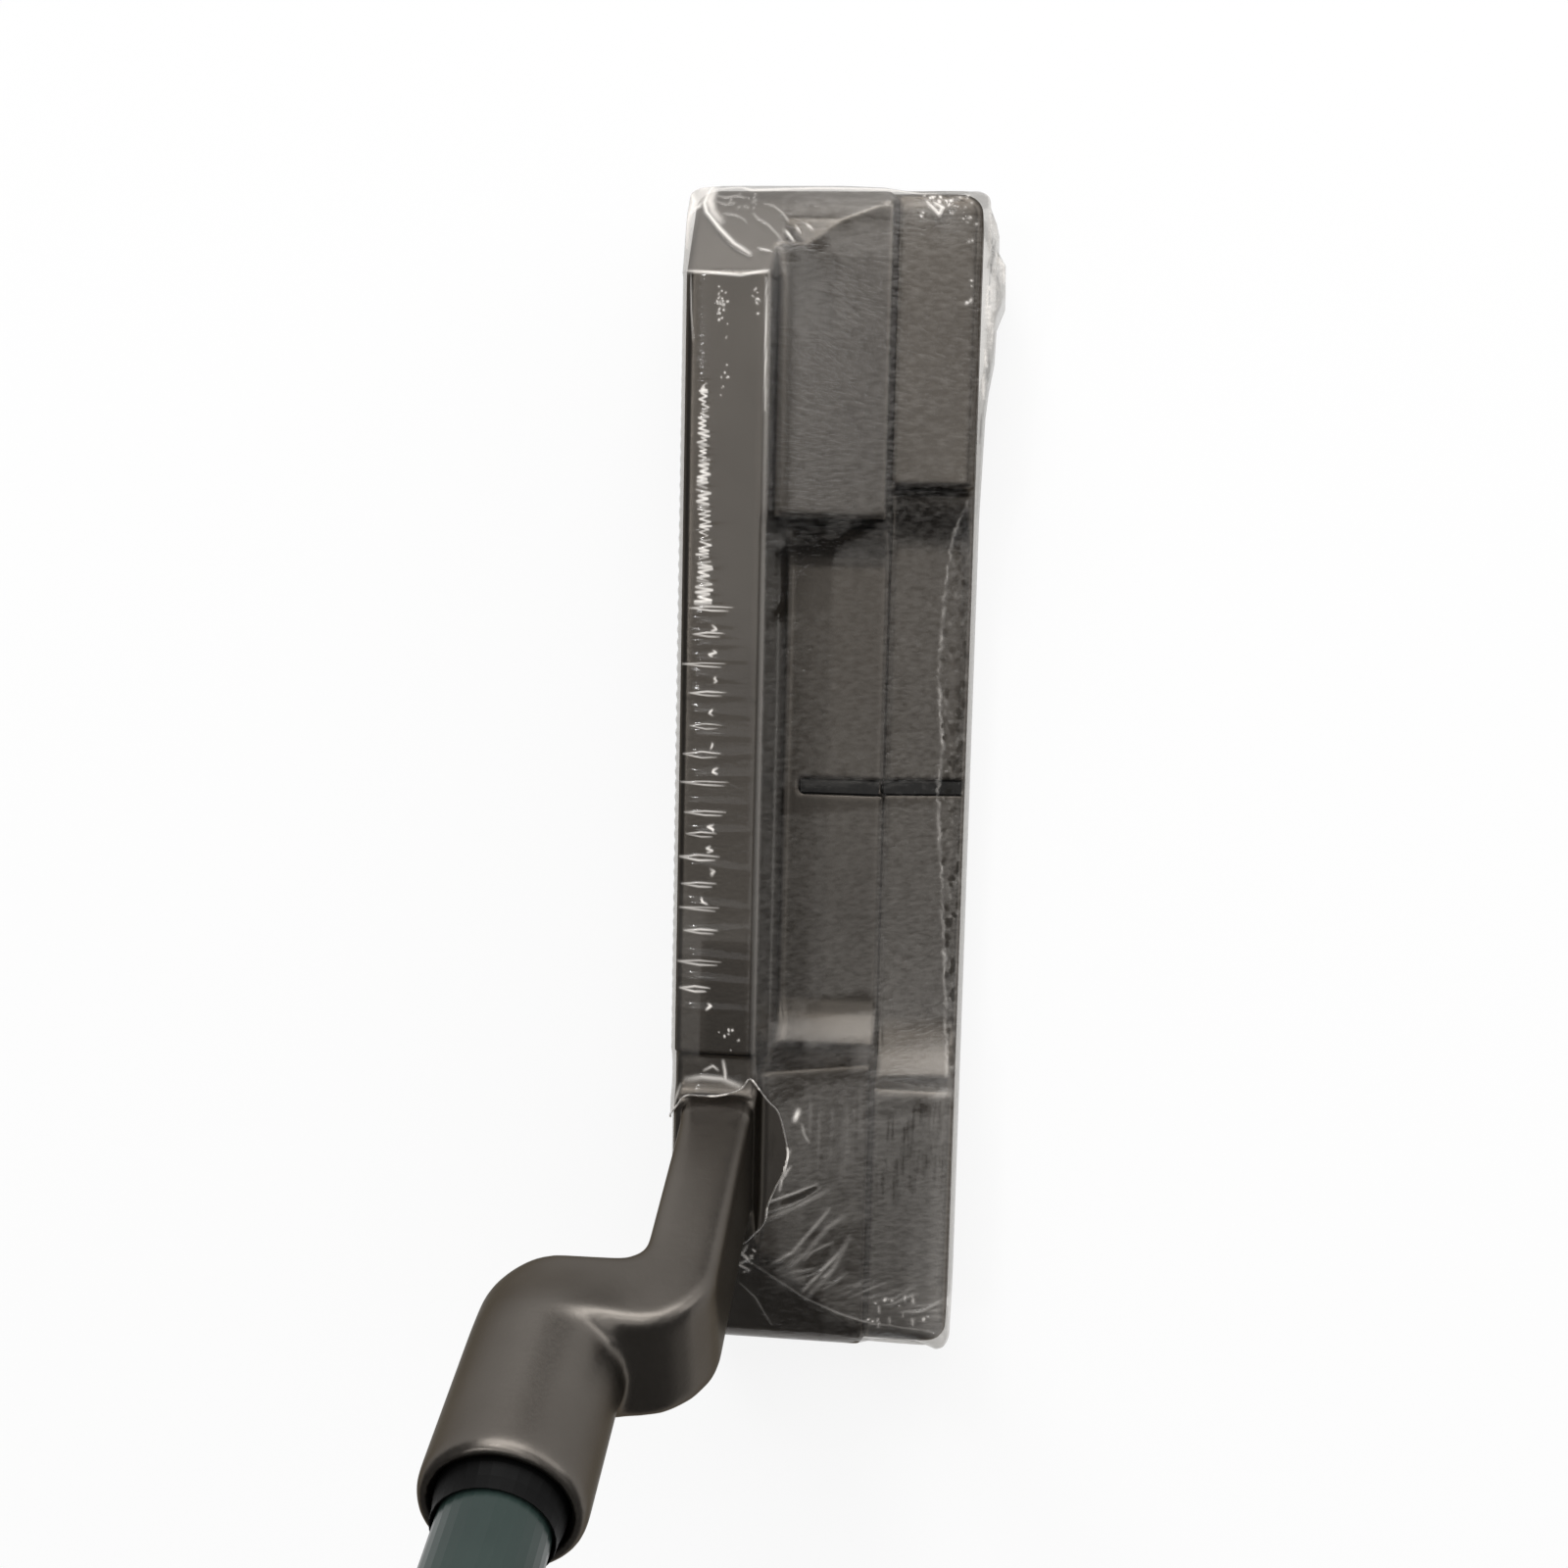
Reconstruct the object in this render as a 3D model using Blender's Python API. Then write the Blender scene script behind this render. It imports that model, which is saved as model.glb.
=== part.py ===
"""Right-handed blade putter: cast head with an offset Z-shaped neck, steel shaft, rubber grip
and a clear film round the head. X runs from toe to heel, Y from face to rear, Z up. The origin is
on the ground under the sighting line. Sizes are in millimetres, and the meshes are in metres."""

import math

import bmesh
import bpy
from mathutils import Vector

MM = 0.001

# Clearances
FILM_GAP = 0.3
FILM_THICKNESS = 0.2
BOND_GAP = 0.3
PAINT_GAP = 0.15
SURFACE_INSET = 0.02

# Head outline
TOE_REACH = 59.75
HEEL_REACH = 58.6
FACE_REACH = 13.9
REAR_REACH = 13.7
LOFT_DEG = 3.0
END_CORNER_RADIUS = 2.0
END_EDGE_RADIUS = 1.0
LEADING_EDGE_RADIUS = 1.2
TRAILING_EDGE_RADIUS = 1.5
SOLE_RELIEF_RUN = 14.0
SOLE_RELIEF_RISE = 1.8

# Blade and its sloped ends, heights above the sole
BLADE_HEIGHT = 24.6
TOP_LINE_DEPTH = 8.1
TOP_EDGE_RADIUS = 0.8
TOE_FACET_RUN = 9.45
TOE_FACET_DROP = 9.45
HEEL_FACET_RUN = 18.5
HEEL_FACET_DROP = 9.0
WALL_DRAFT = 0.5
WALL_FILLET = 1.6
FLOOR_FILLET = 0.6

# Notch between the top line and the neck
NOTCH_LENGTH = 4.8
NOTCH_DEPTH = 1.4
NOTCH_LIP = 0.4

# Heel and toe weights, cavity and rear flange, heights above the sole
WEIGHT_FRONT_HEIGHT = 21.3
WEIGHT_STEP_HEIGHT = 16.5
REAR_TIER_HEIGHT = 13.5
REAR_EDGE_RADIUS = 1.0
CAVITY_FLOOR_HEIGHT = 9.3
FLANGE_STEP_HEIGHT = 8.3
FLANGE_REAR_HEIGHT = 6.6
STEP_Y = 5.1
STEP_DRAFT = 0.4
STEP_RADIUS = 0.4
CAVITY_HALF_LENGTH = 27.7
CAVITY_RAMP_RUN = 4.8
FLANGE_HALF_LENGTH = 31.0
FLANGE_RAMP_RUN = 6.5
RAMP_WALL_RUN = 0.7
RAMP_FOOT_DEG = 50.0
RAMP_EDGE_RADIUS = 0.5
FACET_CREASE_MARGIN = 2.4

# Sighting line
SIGHT_WIDTH = 1.6
SIGHT_DEPTH = 0.9
SIGHT_PAINT_THICKNESS = 0.45
SIGHT_WALL_MARGIN = 2.2

# Neck and hosel, lengths along the shaft axis
LIE_DEG = 69.8
HEEL_TO_AXIS = 31.8
AXIS_Y = -20.2
BARREL_DIAMETER = 14.2
NECK_WIDTH = 11.5
POST_FRONT_Y = -12.9
POST_REAR_Y = -5.9
POST_EMBED = 5.0
POST_HEIGHT = 22.9
POST_FILLET = 2.5
JOG_HEIGHT = 8.3
JOG_FRONT_RADIUS = 3.5
JOG_REAR_RADIUS = 7.0
JOG_UNDER_RADIUS = 0.5
NECK_EDGE_RADIUS = 1.0
BARREL_FILLET = 2.4
BARREL_FILLET_LEAST = 0.2
BARREL_HEIGHT = 15.9
RIM_RADIUS = 0.9
BORE_DEPTH = 20.5

# Shaft
CLUB_LENGTH = 864.0
SHAFT_TIP_DIAMETER = 9.4
SHAFT_BUTT_DIAMETER = 14.7
SHAFT_WALL = 0.6
SHAFT_STEP_COUNT = 9
SHAFT_FIRST_STEP = 270.0
SHAFT_STEP_SPACING = 40.0
SHAFT_STEP_LENGTH = 1.5

# Bond in the hosel and tape under the grip
BOND_THICKNESS = 0.45
BOND_TOP_DROP = 0.3
BOND_CLIMB = 2.0
BOND_LIP = 0.1
TAPE_THICKNESS = 0.3
TAPE_MOUTH_SETBACK = 3.0

# Grip
GRIP_LENGTH = 267.0
GRIP_MOUTH_WALL = 1.2
GRIP_CAP_THICKNESS = 5.0
GRIP_VENT_DIAMETER = 2.4
GRIP_WIDTH_GROWTH = 3.6
GRIP_BACK_GROWTH = 4.4
GRIP_BACK_BULGE = 3.2
GRIP_BULGE_PLACE = 0.78
GRIP_BULGE_SPREAD = 0.17
GRIP_FLAT_SETBACK = 0.9
GRIP_END_RADIUS = 3.0

# Film opening round the neck
OPENING_TOE = 1.9
OPENING_HEEL = 3.2
OPENING_REAR = 2.9
OPENING_FACE = 3.0
OPENING_DEPTH = 6.0
OPENING_CORNER = 3.0

# Mesh resolution
ROUND_STEPS = 32
ARC_ANGLES = (0, 20, 40, 60, 75, 90)
EDGE_ANGLES = (0, 30, 60, 90)
RAMP_SHARES = (0.0, 0.28, 0.5, 0.68, 0.85, 1.0)
REAR_SHARES = (0.0, 0.4, 0.75)
SIDE_SHARES = (0.8, 0.6, 0.45, 0.3, 0.15)
GRIP_SHARES = (0.0, 0.15, 0.3, 0.45, 0.55, 0.62, 0.7, 0.78, 0.86, 0.94, 1.0)
NOSE_STEPS = 7
CORNER_STEPS = 3
VENT_STEPS = 12
STATION_SPACING = 0.1
SHARP_DEG = 32.0
WRAP_FLAT_DEG = 0.4
WRAP_SLIVER = 0.02
SHALLOW_TURN = 0.2
CORNER_SHARE = 0.45

# Values that follow from the sizes above
SOLE_Z = FILM_GAP + FILM_THICKNESS
BLADE_TOP_Z = SOLE_Z + BLADE_HEIGHT
BLADE_REAR_Y = TOP_LINE_DEPTH - FACE_REACH
LEAN = math.radians(90.0 - LIE_DEG)
# Where the shaft axis meets the ground
AXIS_GROUND_X = HEEL_REACH - HEEL_TO_AXIS
BARREL_RADIUS = BARREL_DIAMETER / 2
NECK_HALF = NECK_WIDTH / 2
# Along the axis, the level at which the neck's toe side meets the top of the blade
POST_BASE = (BLADE_TOP_Z - NECK_HALF * math.sin(LEAN)) / math.cos(LEAN)
JOG_BOTTOM = POST_BASE + POST_HEIGHT
JOG_TOP = JOG_BOTTOM + JOG_HEIGHT
MOUTH = JOG_TOP + BARREL_HEIGHT
BORE_BOTTOM = MOUTH - BORE_DEPTH
SHAFT_TIP_RADIUS = SHAFT_TIP_DIAMETER / 2
SHAFT_BUTT_RADIUS = SHAFT_BUTT_DIAMETER / 2
BOND_INNER_RADIUS = SHAFT_TIP_RADIUS + BOND_GAP
BOND_OUTER_RADIUS = BOND_INNER_RADIUS + BOND_THICKNESS
BORE_RADIUS = BOND_OUTER_RADIUS + BOND_GAP
SHAFT_BOTTOM = BORE_BOTTOM + BOND_GAP
SHAFT_TOP = CLUB_LENGTH - GRIP_CAP_THICKNESS - BOND_GAP
TAPE_INNER_RADIUS = SHAFT_BUTT_RADIUS + BOND_GAP
TAPE_OUTER_RADIUS = TAPE_INNER_RADIUS + TAPE_THICKNESS
GRIP_BORE_RADIUS = TAPE_OUTER_RADIUS + BOND_GAP
GRIP_MOUTH = CLUB_LENGTH - GRIP_LENGTH
NECK_TOE_X = AXIS_GROUND_X + BLADE_TOP_Z * math.tan(LEAN) - NECK_HALF / math.cos(LEAN)
NECK_HEEL_X = NECK_TOE_X + NECK_WIDTH / math.cos(LEAN)
TOP_LINE_END_X = NECK_TOE_X - NOTCH_LENGTH


def clear_scene():
    for item in list(bpy.data.objects):
        bpy.data.objects.remove(item, do_unlink=True)


def make_material(name, colour, roughness, metallic, alpha=1.0):
    material = bpy.data.materials.new(name)
    material.use_nodes = True
    shader = material.node_tree.nodes["Principled BSDF"]
    shader.inputs["Base Color"].default_value = (*colour, 1.0)
    shader.inputs["Roughness"].default_value = roughness
    shader.inputs["Metallic"].default_value = metallic
    shader.inputs["Alpha"].default_value = alpha
    return material


def finish_object(name, work, material=None, parent=None, sharp_deg=SHARP_DEG):
    """Turns a bmesh in millimetres into a linked object in metres."""
    bmesh.ops.recalc_face_normals(work, faces=work.faces[:])
    bmesh.ops.scale(work, vec=(MM, MM, MM), verts=work.verts[:])
    mesh = bpy.data.meshes.new(name)
    work.to_mesh(mesh)
    work.free()
    mesh.shade_smooth()
    mesh.set_sharp_from_angle(angle=math.radians(sharp_deg))
    made = bpy.data.objects.new(name, mesh)
    bpy.context.scene.collection.objects.link(made)
    made.parent = parent
    if material:
        mesh.materials.append(material)
    else:
        made.hide_render = True
        made.display_type = 'WIRE'
    return made


def combine(target, tool, operation):
    modifier = target.modifiers.new(tool.name, 'BOOLEAN')
    modifier.operation = operation
    modifier.solver = 'EXACT'
    modifier.object = tool


def loft(rings):
    """A closed solid through rings that have the same number of points."""
    work = bmesh.new()
    loops = [[work.verts.new(point) for point in ring] for ring in rings]
    for low, high in zip(loops, loops[1:]):
        for i in range(len(low)):
            j = (i + 1) % len(low)
            work.faces.new((low[i], low[j], high[j], high[i]))
    work.faces.new(loops[0])
    work.faces.new(loops[-1])
    return work


def revolve(profile, steps=ROUND_STEPS):
    """A ring-shaped solid from a closed profile of (radius, height) points."""
    work = bmesh.new()
    loops = []
    for k in range(steps):
        angle = math.tau * k / steps
        loops.append([work.verts.new((r * math.cos(angle), r * math.sin(angle), z)) for r, z in profile])
    for k in range(steps):
        here, there = loops[k], loops[(k + 1) % steps]
        for i in range(len(profile)):
            j = (i + 1) % len(profile)
            work.faces.new((here[i], here[j], there[j], there[i]))
    return work


def circle_ring(radius, height, steps=ROUND_STEPS):
    angles = [math.tau * k / steps for k in range(steps)]
    return [Vector((radius * math.cos(a), radius * math.sin(a), height)) for a in angles]


def slot(front, rear, half_width, below, above):
    """A straight bar from front to rear, both (y, height), with its lower and upper side off that line."""
    work = bmesh.new()
    bmesh.ops.create_cube(work, size=2.0)
    for vert in work.verts:
        y, height = rear if vert.co.y > 0 else front
        vert.co = (vert.co.x * half_width, y, height + (above if vert.co.z > 0 else below))
    return work


def ease(share):
    """A smooth climb from 0 to 1."""
    share = min(1.0, max(0.0, share))
    return share * share * (3.0 - 2.0 * share)


def spaced(levels):
    """The levels in order, without those that are nearly the same as the one before."""
    kept = []
    for level in sorted(levels):
        if not kept or level - kept[-1] > STATION_SPACING:
            kept.append(level)
    return kept


def round_share(distance, radius):
    """Height lost on a quarter round of this radius, at this distance from its end."""
    if distance >= radius:
        return 0.0
    return radius - math.sqrt(max(0.0, radius ** 2 - (radius - distance) ** 2))


def rounded_outline(corners):
    """Points along a closed outline of (y, z, radius, segments) corners, each turned by an arc."""
    points = []
    for i, (y, z, radius, segments) in enumerate(corners):
        here = Vector((y, z))
        if not segments:
            points.append(here)
            continue
        back = Vector(corners[i - 1][:2]) - here
        ahead = Vector(corners[(i + 1) % len(corners)][:2]) - here
        turn = math.pi - back.angle(ahead)
        reach = radius * math.tan(turn / 2) if turn > SHALLOW_TURN else radius
        reach = min(reach, CORNER_SHARE * back.length, CORNER_SHARE * ahead.length)
        start, end = here + back.normalized() * reach, here + ahead.normalized() * reach
        weight = math.cos(turn / 2)
        for k in range(segments + 1):
            t = k / segments
            a, b, c = (1 - t) ** 2, 2 * t * (1 - t) * weight, t ** 2
            points.append((start * a + here * b + end * c) / (a + b + c))
    return points


def facet_height(x):
    """Height of the sloped end facets at x, far above the head between them."""
    toe = BLADE_TOP_Z - (TOE_FACET_RUN - (x + TOE_REACH)) * TOE_FACET_DROP / TOE_FACET_RUN
    heel = BLADE_TOP_Z - (HEEL_FACET_RUN - (HEEL_REACH - x)) * HEEL_FACET_DROP / HEEL_FACET_RUN
    return min(toe, heel)


def top_height(x):
    """Height of the blade's top: flat line, notch before the neck, and facets."""
    into_notch = x - TOP_LINE_END_X
    height = BLADE_TOP_Z
    if 0.0 < into_notch < NOTCH_LENGTH:
        lip = min(1.0, into_notch / NOTCH_LIP)
        rise = round_share(NOTCH_LENGTH - into_notch, NOTCH_DEPTH)
        height += rise - NOTCH_DEPTH * lip
    return min(height, facet_height(x))


def sole_height(x):
    """Height of the sole, which lifts toward the toe and the heel."""
    from_end = min(x + TOE_REACH, HEEL_REACH - x)
    share = min(1.0, max(0.0, 1.0 - from_end / SOLE_RELIEF_RUN))
    return SOLE_Z + SOLE_RELIEF_RISE * (1.0 - math.sqrt(1.0 - share ** 2))


def ramp_share(x, half_length, run):
    """How far x is up the ramp that ends at half_length: 0 before it, 1 from its end on."""
    return min(1.0, max(0.0, 1.0 + (abs(x) - half_length) / run))


def tier_height(x, half_length, run, low, high):
    """Height of a tier that is low in the middle, curves up to a foot and climbs a steep wall to the weights."""
    beyond = abs(x) - half_length
    crest = SOLE_Z + high
    if beyond >= 0.0:
        return crest - round_share(beyond, RAMP_EDGE_RADIUS)
    foot_run = run - RAMP_WALL_RUN
    foot_rise = foot_run * math.tan(math.radians(RAMP_FOOT_DEG)) / 2
    on_foot = min(1.0, max(0.0, (beyond + run) / foot_run))
    on_wall = max(0.0, 1.0 + beyond / RAMP_WALL_RUN)
    wall_rise = high - RAMP_EDGE_RADIUS - low - foot_rise
    return SOLE_Z + low + foot_rise * on_foot ** 2 + wall_rise * on_wall


def head_section(x):
    """The head's outline in the YZ plane at x."""
    top, sole, facet = top_height(x), sole_height(x), facet_height(x)
    cavity, back = (CAVITY_HALF_LENGTH, CAVITY_RAMP_RUN), (FLANGE_HALF_LENGTH, FLANGE_RAMP_RUN)
    front = min(tier_height(x, *cavity, CAVITY_FLOOR_HEIGHT, WEIGHT_FRONT_HEIGHT), facet)
    step = min(tier_height(x, *cavity, CAVITY_FLOOR_HEIGHT, WEIGHT_STEP_HEIGHT), facet)
    flange = tier_height(x, *back, FLANGE_STEP_HEIGHT, REAR_TIER_HEIGHT)
    rear = tier_height(x, *back, FLANGE_REAR_HEIGHT, REAR_TIER_HEIGHT)
    fillet = FLOOR_FILLET + (WALL_FILLET - FLOOR_FILLET) * ramp_share(x, *cavity)
    wall_foot = BLADE_REAR_Y + WALL_DRAFT
    # The facet's lower edge runs diagonally over the weight, from the blade's wall to the step
    slope = (WEIGHT_FRONT_HEIGHT - WEIGHT_STEP_HEIGHT) / (STEP_Y - wall_foot)
    crease = wall_foot + (SOLE_Z + WEIGHT_FRONT_HEIGHT - facet) / slope
    crease = min(max(crease, wall_foot + FACET_CREASE_MARGIN), STEP_Y - FACET_CREASE_MARGIN / 2)
    share = (crease - wall_foot) / (STEP_Y - wall_foot)
    on_weight = SOLE_Z + WEIGHT_FRONT_HEIGHT - slope * (crease - wall_foot)
    crease_height = min(facet, on_weight) if facet < BLADE_TOP_Z else front + (step - front) * share
    face_slope = math.tan(math.radians(LOFT_DEG))
    return rounded_outline([
        (-FACE_REACH - (BLADE_TOP_Z - sole) * face_slope, sole, LEADING_EDGE_RADIUS, 3),
        (-FACE_REACH - (BLADE_TOP_Z - top) * face_slope, top, TOP_EDGE_RADIUS, 3),
        (BLADE_REAR_Y, top, TOP_EDGE_RADIUS, 3),
        (wall_foot, front, fillet, 4),
        (crease, crease_height, 0.0, 0),
        (STEP_Y, step, STEP_RADIUS, 2),
        (STEP_Y + STEP_DRAFT, flange, STEP_RADIUS, 2),
        (REAR_REACH, rear, REAR_EDGE_RADIUS, 3),
        (REAR_REACH, sole, TRAILING_EDGE_RADIUS, 3),
    ])


def head_stations():
    """Where the head's outline is drawn along X: wherever its shape changes."""
    places = [-SIGHT_WIDTH, SIGHT_WIDTH, TOP_LINE_END_X, TOP_LINE_END_X + NOTCH_LIP, NECK_TOE_X]
    for angle in ARC_ANGLES[:-1]:
        places.append(NECK_TOE_X - NOTCH_DEPTH * (1.0 - math.sin(math.radians(angle))))
        from_end = END_CORNER_RADIUS * (1.0 - math.cos(math.radians(angle)))
        places += [from_end - TOE_REACH, HEEL_REACH - from_end]
    places += [END_CORNER_RADIUS - TOE_REACH, HEEL_REACH - END_CORNER_RADIUS]
    for height in (BLADE_HEIGHT, WEIGHT_FRONT_HEIGHT, WEIGHT_STEP_HEIGHT):
        fall = BLADE_HEIGHT - height
        places.append(TOE_FACET_RUN - fall * TOE_FACET_RUN / TOE_FACET_DROP - TOE_REACH)
        places.append(HEEL_REACH - HEEL_FACET_RUN + fall * HEEL_FACET_RUN / HEEL_FACET_DROP)
    ramps = (CAVITY_HALF_LENGTH, CAVITY_RAMP_RUN), (FLANGE_HALF_LENGTH, FLANGE_RAMP_RUN)
    for half_length, run in ramps:
        reaches = [half_length - run + (run - RAMP_WALL_RUN) * share for share in RAMP_SHARES]
        reaches += [half_length + RAMP_EDGE_RADIUS * share for share in (0.0, 0.3, 1.0)]
        places += [side * reach for reach in reaches for side in (-1, 1)]
    for share in (0.25, 0.5, 0.75, 1.0):
        places.append(SOLE_RELIEF_RUN * share - TOE_REACH)
        places.append(HEEL_REACH - SOLE_RELIEF_RUN * share)
    kept = spaced([x for x in places if -TOE_REACH <= x <= HEEL_REACH])
    kept[-1] = HEEL_REACH
    return kept


def head_ring(x):
    """The head's outline at x, drawn in near the ends so that their corners are round."""
    from_end = min(x + TOE_REACH, HEEL_REACH - x)
    inset = round_share(from_end, END_CORNER_RADIUS)
    half_depth = (FACE_REACH + REAR_REACH) / 2
    middle_y, middle_z = (REAR_REACH - FACE_REACH) / 2, SOLE_Z + REAR_TIER_HEIGHT / 2
    scale_y = 1.0 - inset / half_depth
    scale_z = 1.0 - inset * END_EDGE_RADIUS / END_CORNER_RADIUS / REAR_TIER_HEIGHT * 2
    return [
        Vector((x, middle_y + (p.x - middle_y) * scale_y, middle_z + (p.y - middle_z) * scale_z))
        for p in head_section(x)
    ]


def head_block():
    return loft([head_ring(x) for x in head_stations()])


def rounded_rectangle(low, high, radius, height):
    """A ring in the plane across the shaft axis."""
    points = []
    corners = (high[0], high[1]), (low[0], high[1]), (low[0], low[1]), (high[0], low[1])
    for k, (x, y) in enumerate(corners):
        centre = (x - math.copysign(radius, x - sum((low[0], high[0])) / 2),
                  y - math.copysign(radius, y - sum((low[1], high[1])) / 2))
        for step in range(4):
            angle = math.pi / 2 * (k + step / 3)
            points.append(Vector((centre[0] + radius * math.cos(angle),
                                  centre[1] + radius * math.sin(angle), height)))
    return points


def neck_rear(rear):
    """Half of the neck's flat rear side and the round edge beside it, across the shaft axis."""
    edge = NECK_EDGE_RADIUS
    points = [(NECK_HALF * share, rear) for share in REAR_SHARES]
    for angle in EDGE_ANGLES:
        turn = math.radians(angle)
        points.append((NECK_HALF - edge + edge * math.sin(turn), rear - edge + edge * math.cos(turn)))
    return points


def post_outline(level):
    """Half outline of the upright bar across the shaft axis, from its rear middle to its front."""
    edge = NECK_EDGE_RADIUS
    rear = POST_REAR_Y - AXIS_Y
    front = POST_FRONT_Y - AXIS_Y - round_share(JOG_BOTTOM - level, POST_FILLET)
    points = neck_rear(rear)
    points += [(NECK_HALF, front + edge + (rear - front - 2 * edge) * share) for share in SIDE_SHARES]
    for k in range(NOSE_STEPS + 1):
        turn = math.pi / 2 * min(1.0, k / CORNER_STEPS)
        left = min(1.0, (NOSE_STEPS - k) / (NOSE_STEPS - CORNER_STEPS))
        x = (NECK_HALF - edge) * left + edge * math.cos(turn)
        points.append((x, front + edge - edge * math.sin(turn)))
    return points


def jog_outline(level):
    """Half outline of the offset bar across the shaft axis, from its rear middle to its front."""
    above, below = level - JOG_BOTTOM, JOG_TOP - level
    front = BARREL_RADIUS - round_share(above, JOG_FRONT_RADIUS)
    rear = POST_REAR_Y - AXIS_Y - round_share(below, JOG_REAR_RADIUS)
    # The bar flares from the post's width to the barrel's, toward the front and toward the top
    flare = (BARREL_RADIUS - NECK_HALF) * ease(above / JOG_HEIGHT) - round_share(above, JOG_UNDER_RADIUS)
    points = neck_rear(rear)
    for share in SIDE_SHARES:
        y = (rear - NECK_EDGE_RADIUS) * share
        points.append((NECK_HALF + flare * ease(1.0 - y / (BARREL_RADIUS + BARREL_FILLET)), y))
    for k in range(NOSE_STEPS + 1):
        turn = math.pi / 2 * k / NOSE_STEPS
        points.append(((NECK_HALF + flare) * math.cos(turn), -front * math.sin(turn)))
    # The shelf's edge is round beside the barrel and dies out where the barrel rises from it
    shelf_in = round_share(below, NECK_EDGE_RADIUS) / BARREL_RADIUS
    return [(x * (1.0 - shelf_in * min(1.0, max(0.0, y / BARREL_RADIUS))), y) for x, y in points]


def mirrored_ring(half_outline):
    """A whole ring from a half outline that starts and ends on the middle line."""
    other = [(-x, y, level) for x, y, level in half_outline[-2:0:-1]]
    return [Vector(point) for point in half_outline + other]


def neck_body():
    """The upright bar, the forward offset and the round hosel above it, in the shaft's frame."""
    turns = [math.radians(angle) for angle in ARC_ANGLES]
    seat = min(BLADE_TOP_Z - POST_EMBED, facet_height(min(NECK_HEEL_X, HEEL_REACH)) - POST_EMBED / 2)
    bottom = (seat - NECK_HALF * math.sin(LEAN)) / math.cos(LEAN)
    levels = [JOG_BOTTOM - POST_FILLET * (1.0 - math.sin(turn)) for turn in turns[:-1]]
    outlines = [(level, post_outline(level)) for level in [bottom] + levels]
    levels = [JOG_BOTTOM]
    for turn in turns:
        levels.append(JOG_BOTTOM + JOG_FRONT_RADIUS * (1.0 - math.cos(turn)))
        levels.append(JOG_BOTTOM + JOG_UNDER_RADIUS * (1.0 - math.cos(turn)))
        levels.append(JOG_TOP - JOG_REAR_RADIUS * (1.0 - math.sin(turn)))
        levels.append(JOG_TOP - NECK_EDGE_RADIUS * (1.0 - math.sin(turn)))
    levels = [level for level in spaced(levels) if level < JOG_TOP - STATION_SPACING] + [JOG_TOP]
    outlines += [(level, jog_outline(level)) for level in levels]
    rings = [mirrored_ring([(x, y, level) for x, y in outline]) for level, outline in outlines]
    shelf = [Vector(point) for point in jog_outline(JOG_TOP)]
    # The fillet at the barrel's foot narrows to nothing where the shelf does
    rooms = [min(BARREL_FILLET, max(BARREL_FILLET_LEAST, p.length - BARREL_RADIUS)) for p in shelf]
    for turn in turns:
        foot = []
        for point, room in zip(shelf, rooms):
            reach = min(point.length, BARREL_RADIUS + room * (1.0 - math.sin(turn)))
            x, y = point.normalized() * reach
            foot.append((x, y, JOG_TOP + SURFACE_INSET + room * (1.0 - math.cos(turn))))
        rings.append(mirrored_ring(foot))
    for turn in turns:
        radius = BARREL_RADIUS - RIM_RADIUS * (1.0 - math.cos(turn))
        level = MOUTH - RIM_RADIUS * (1.0 - math.sin(turn))
        rings.append(mirrored_ring([(*(p.normalized() * radius), level) for p in shelf]))
    return loft(rings)


def shaft_profile():
    """Outer side of the stepped tube from tip to butt, then the same steps back down inside."""
    growth = (SHAFT_BUTT_RADIUS - SHAFT_TIP_RADIUS) / SHAFT_STEP_COUNT
    outer = [(SHAFT_TIP_RADIUS, SHAFT_BOTTOM)]
    for k in range(SHAFT_STEP_COUNT):
        start = SHAFT_BOTTOM + SHAFT_FIRST_STEP + k * SHAFT_STEP_SPACING
        radius = SHAFT_TIP_RADIUS + growth * k
        outer += [(radius, start), (radius + growth, start + SHAFT_STEP_LENGTH)]
    outer.append((SHAFT_BUTT_RADIUS, SHAFT_TOP))
    return outer + [(radius - SHAFT_WALL, level) for radius, level in reversed(outer)]


def bond_profile():
    """The sleeve of adhesive, with a collar above the mouth that climbs the shaft and thins out."""
    bottom, shoulder, top = BORE_BOTTOM + BOND_GAP, MOUTH - BOND_TOP_DROP, MOUTH + BOND_CLIMB
    waist = BOND_INNER_RADIUS + BOND_LIP + (BOND_THICKNESS - BOND_LIP) / 3
    return [(BOND_OUTER_RADIUS, bottom), (BOND_OUTER_RADIUS, shoulder), (waist, (shoulder + top) / 2),
            (BOND_INNER_RADIUS + BOND_LIP, top), (BOND_INNER_RADIUS, top), (BOND_INNER_RADIUS, bottom)]


def grip_ring(share, level, inset=0.0):
    """Pistol section: flat for the thumbs toward the toe side, full toward the player."""
    mouth = GRIP_BORE_RADIUS + GRIP_MOUTH_WALL
    bulge = math.exp(-((share - GRIP_BULGE_PLACE) / GRIP_BULGE_SPREAD) ** 2)
    width = mouth + GRIP_WIDTH_GROWTH * share - inset
    back = mouth + GRIP_BACK_GROWTH * share + GRIP_BACK_BULGE * bulge - inset
    flat = mouth + GRIP_WIDTH_GROWTH * share / 2 - GRIP_FLAT_SETBACK * min(1.0, share * 4) - inset
    ring = []
    for k in range(ROUND_STEPS):
        angle = math.tau * k / ROUND_STEPS
        across = math.cos(angle) * (back if math.cos(angle) > 0 else width)
        ring.append(Vector((max(across, -flat), math.sin(angle) * width, level)))
    return ring


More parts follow.
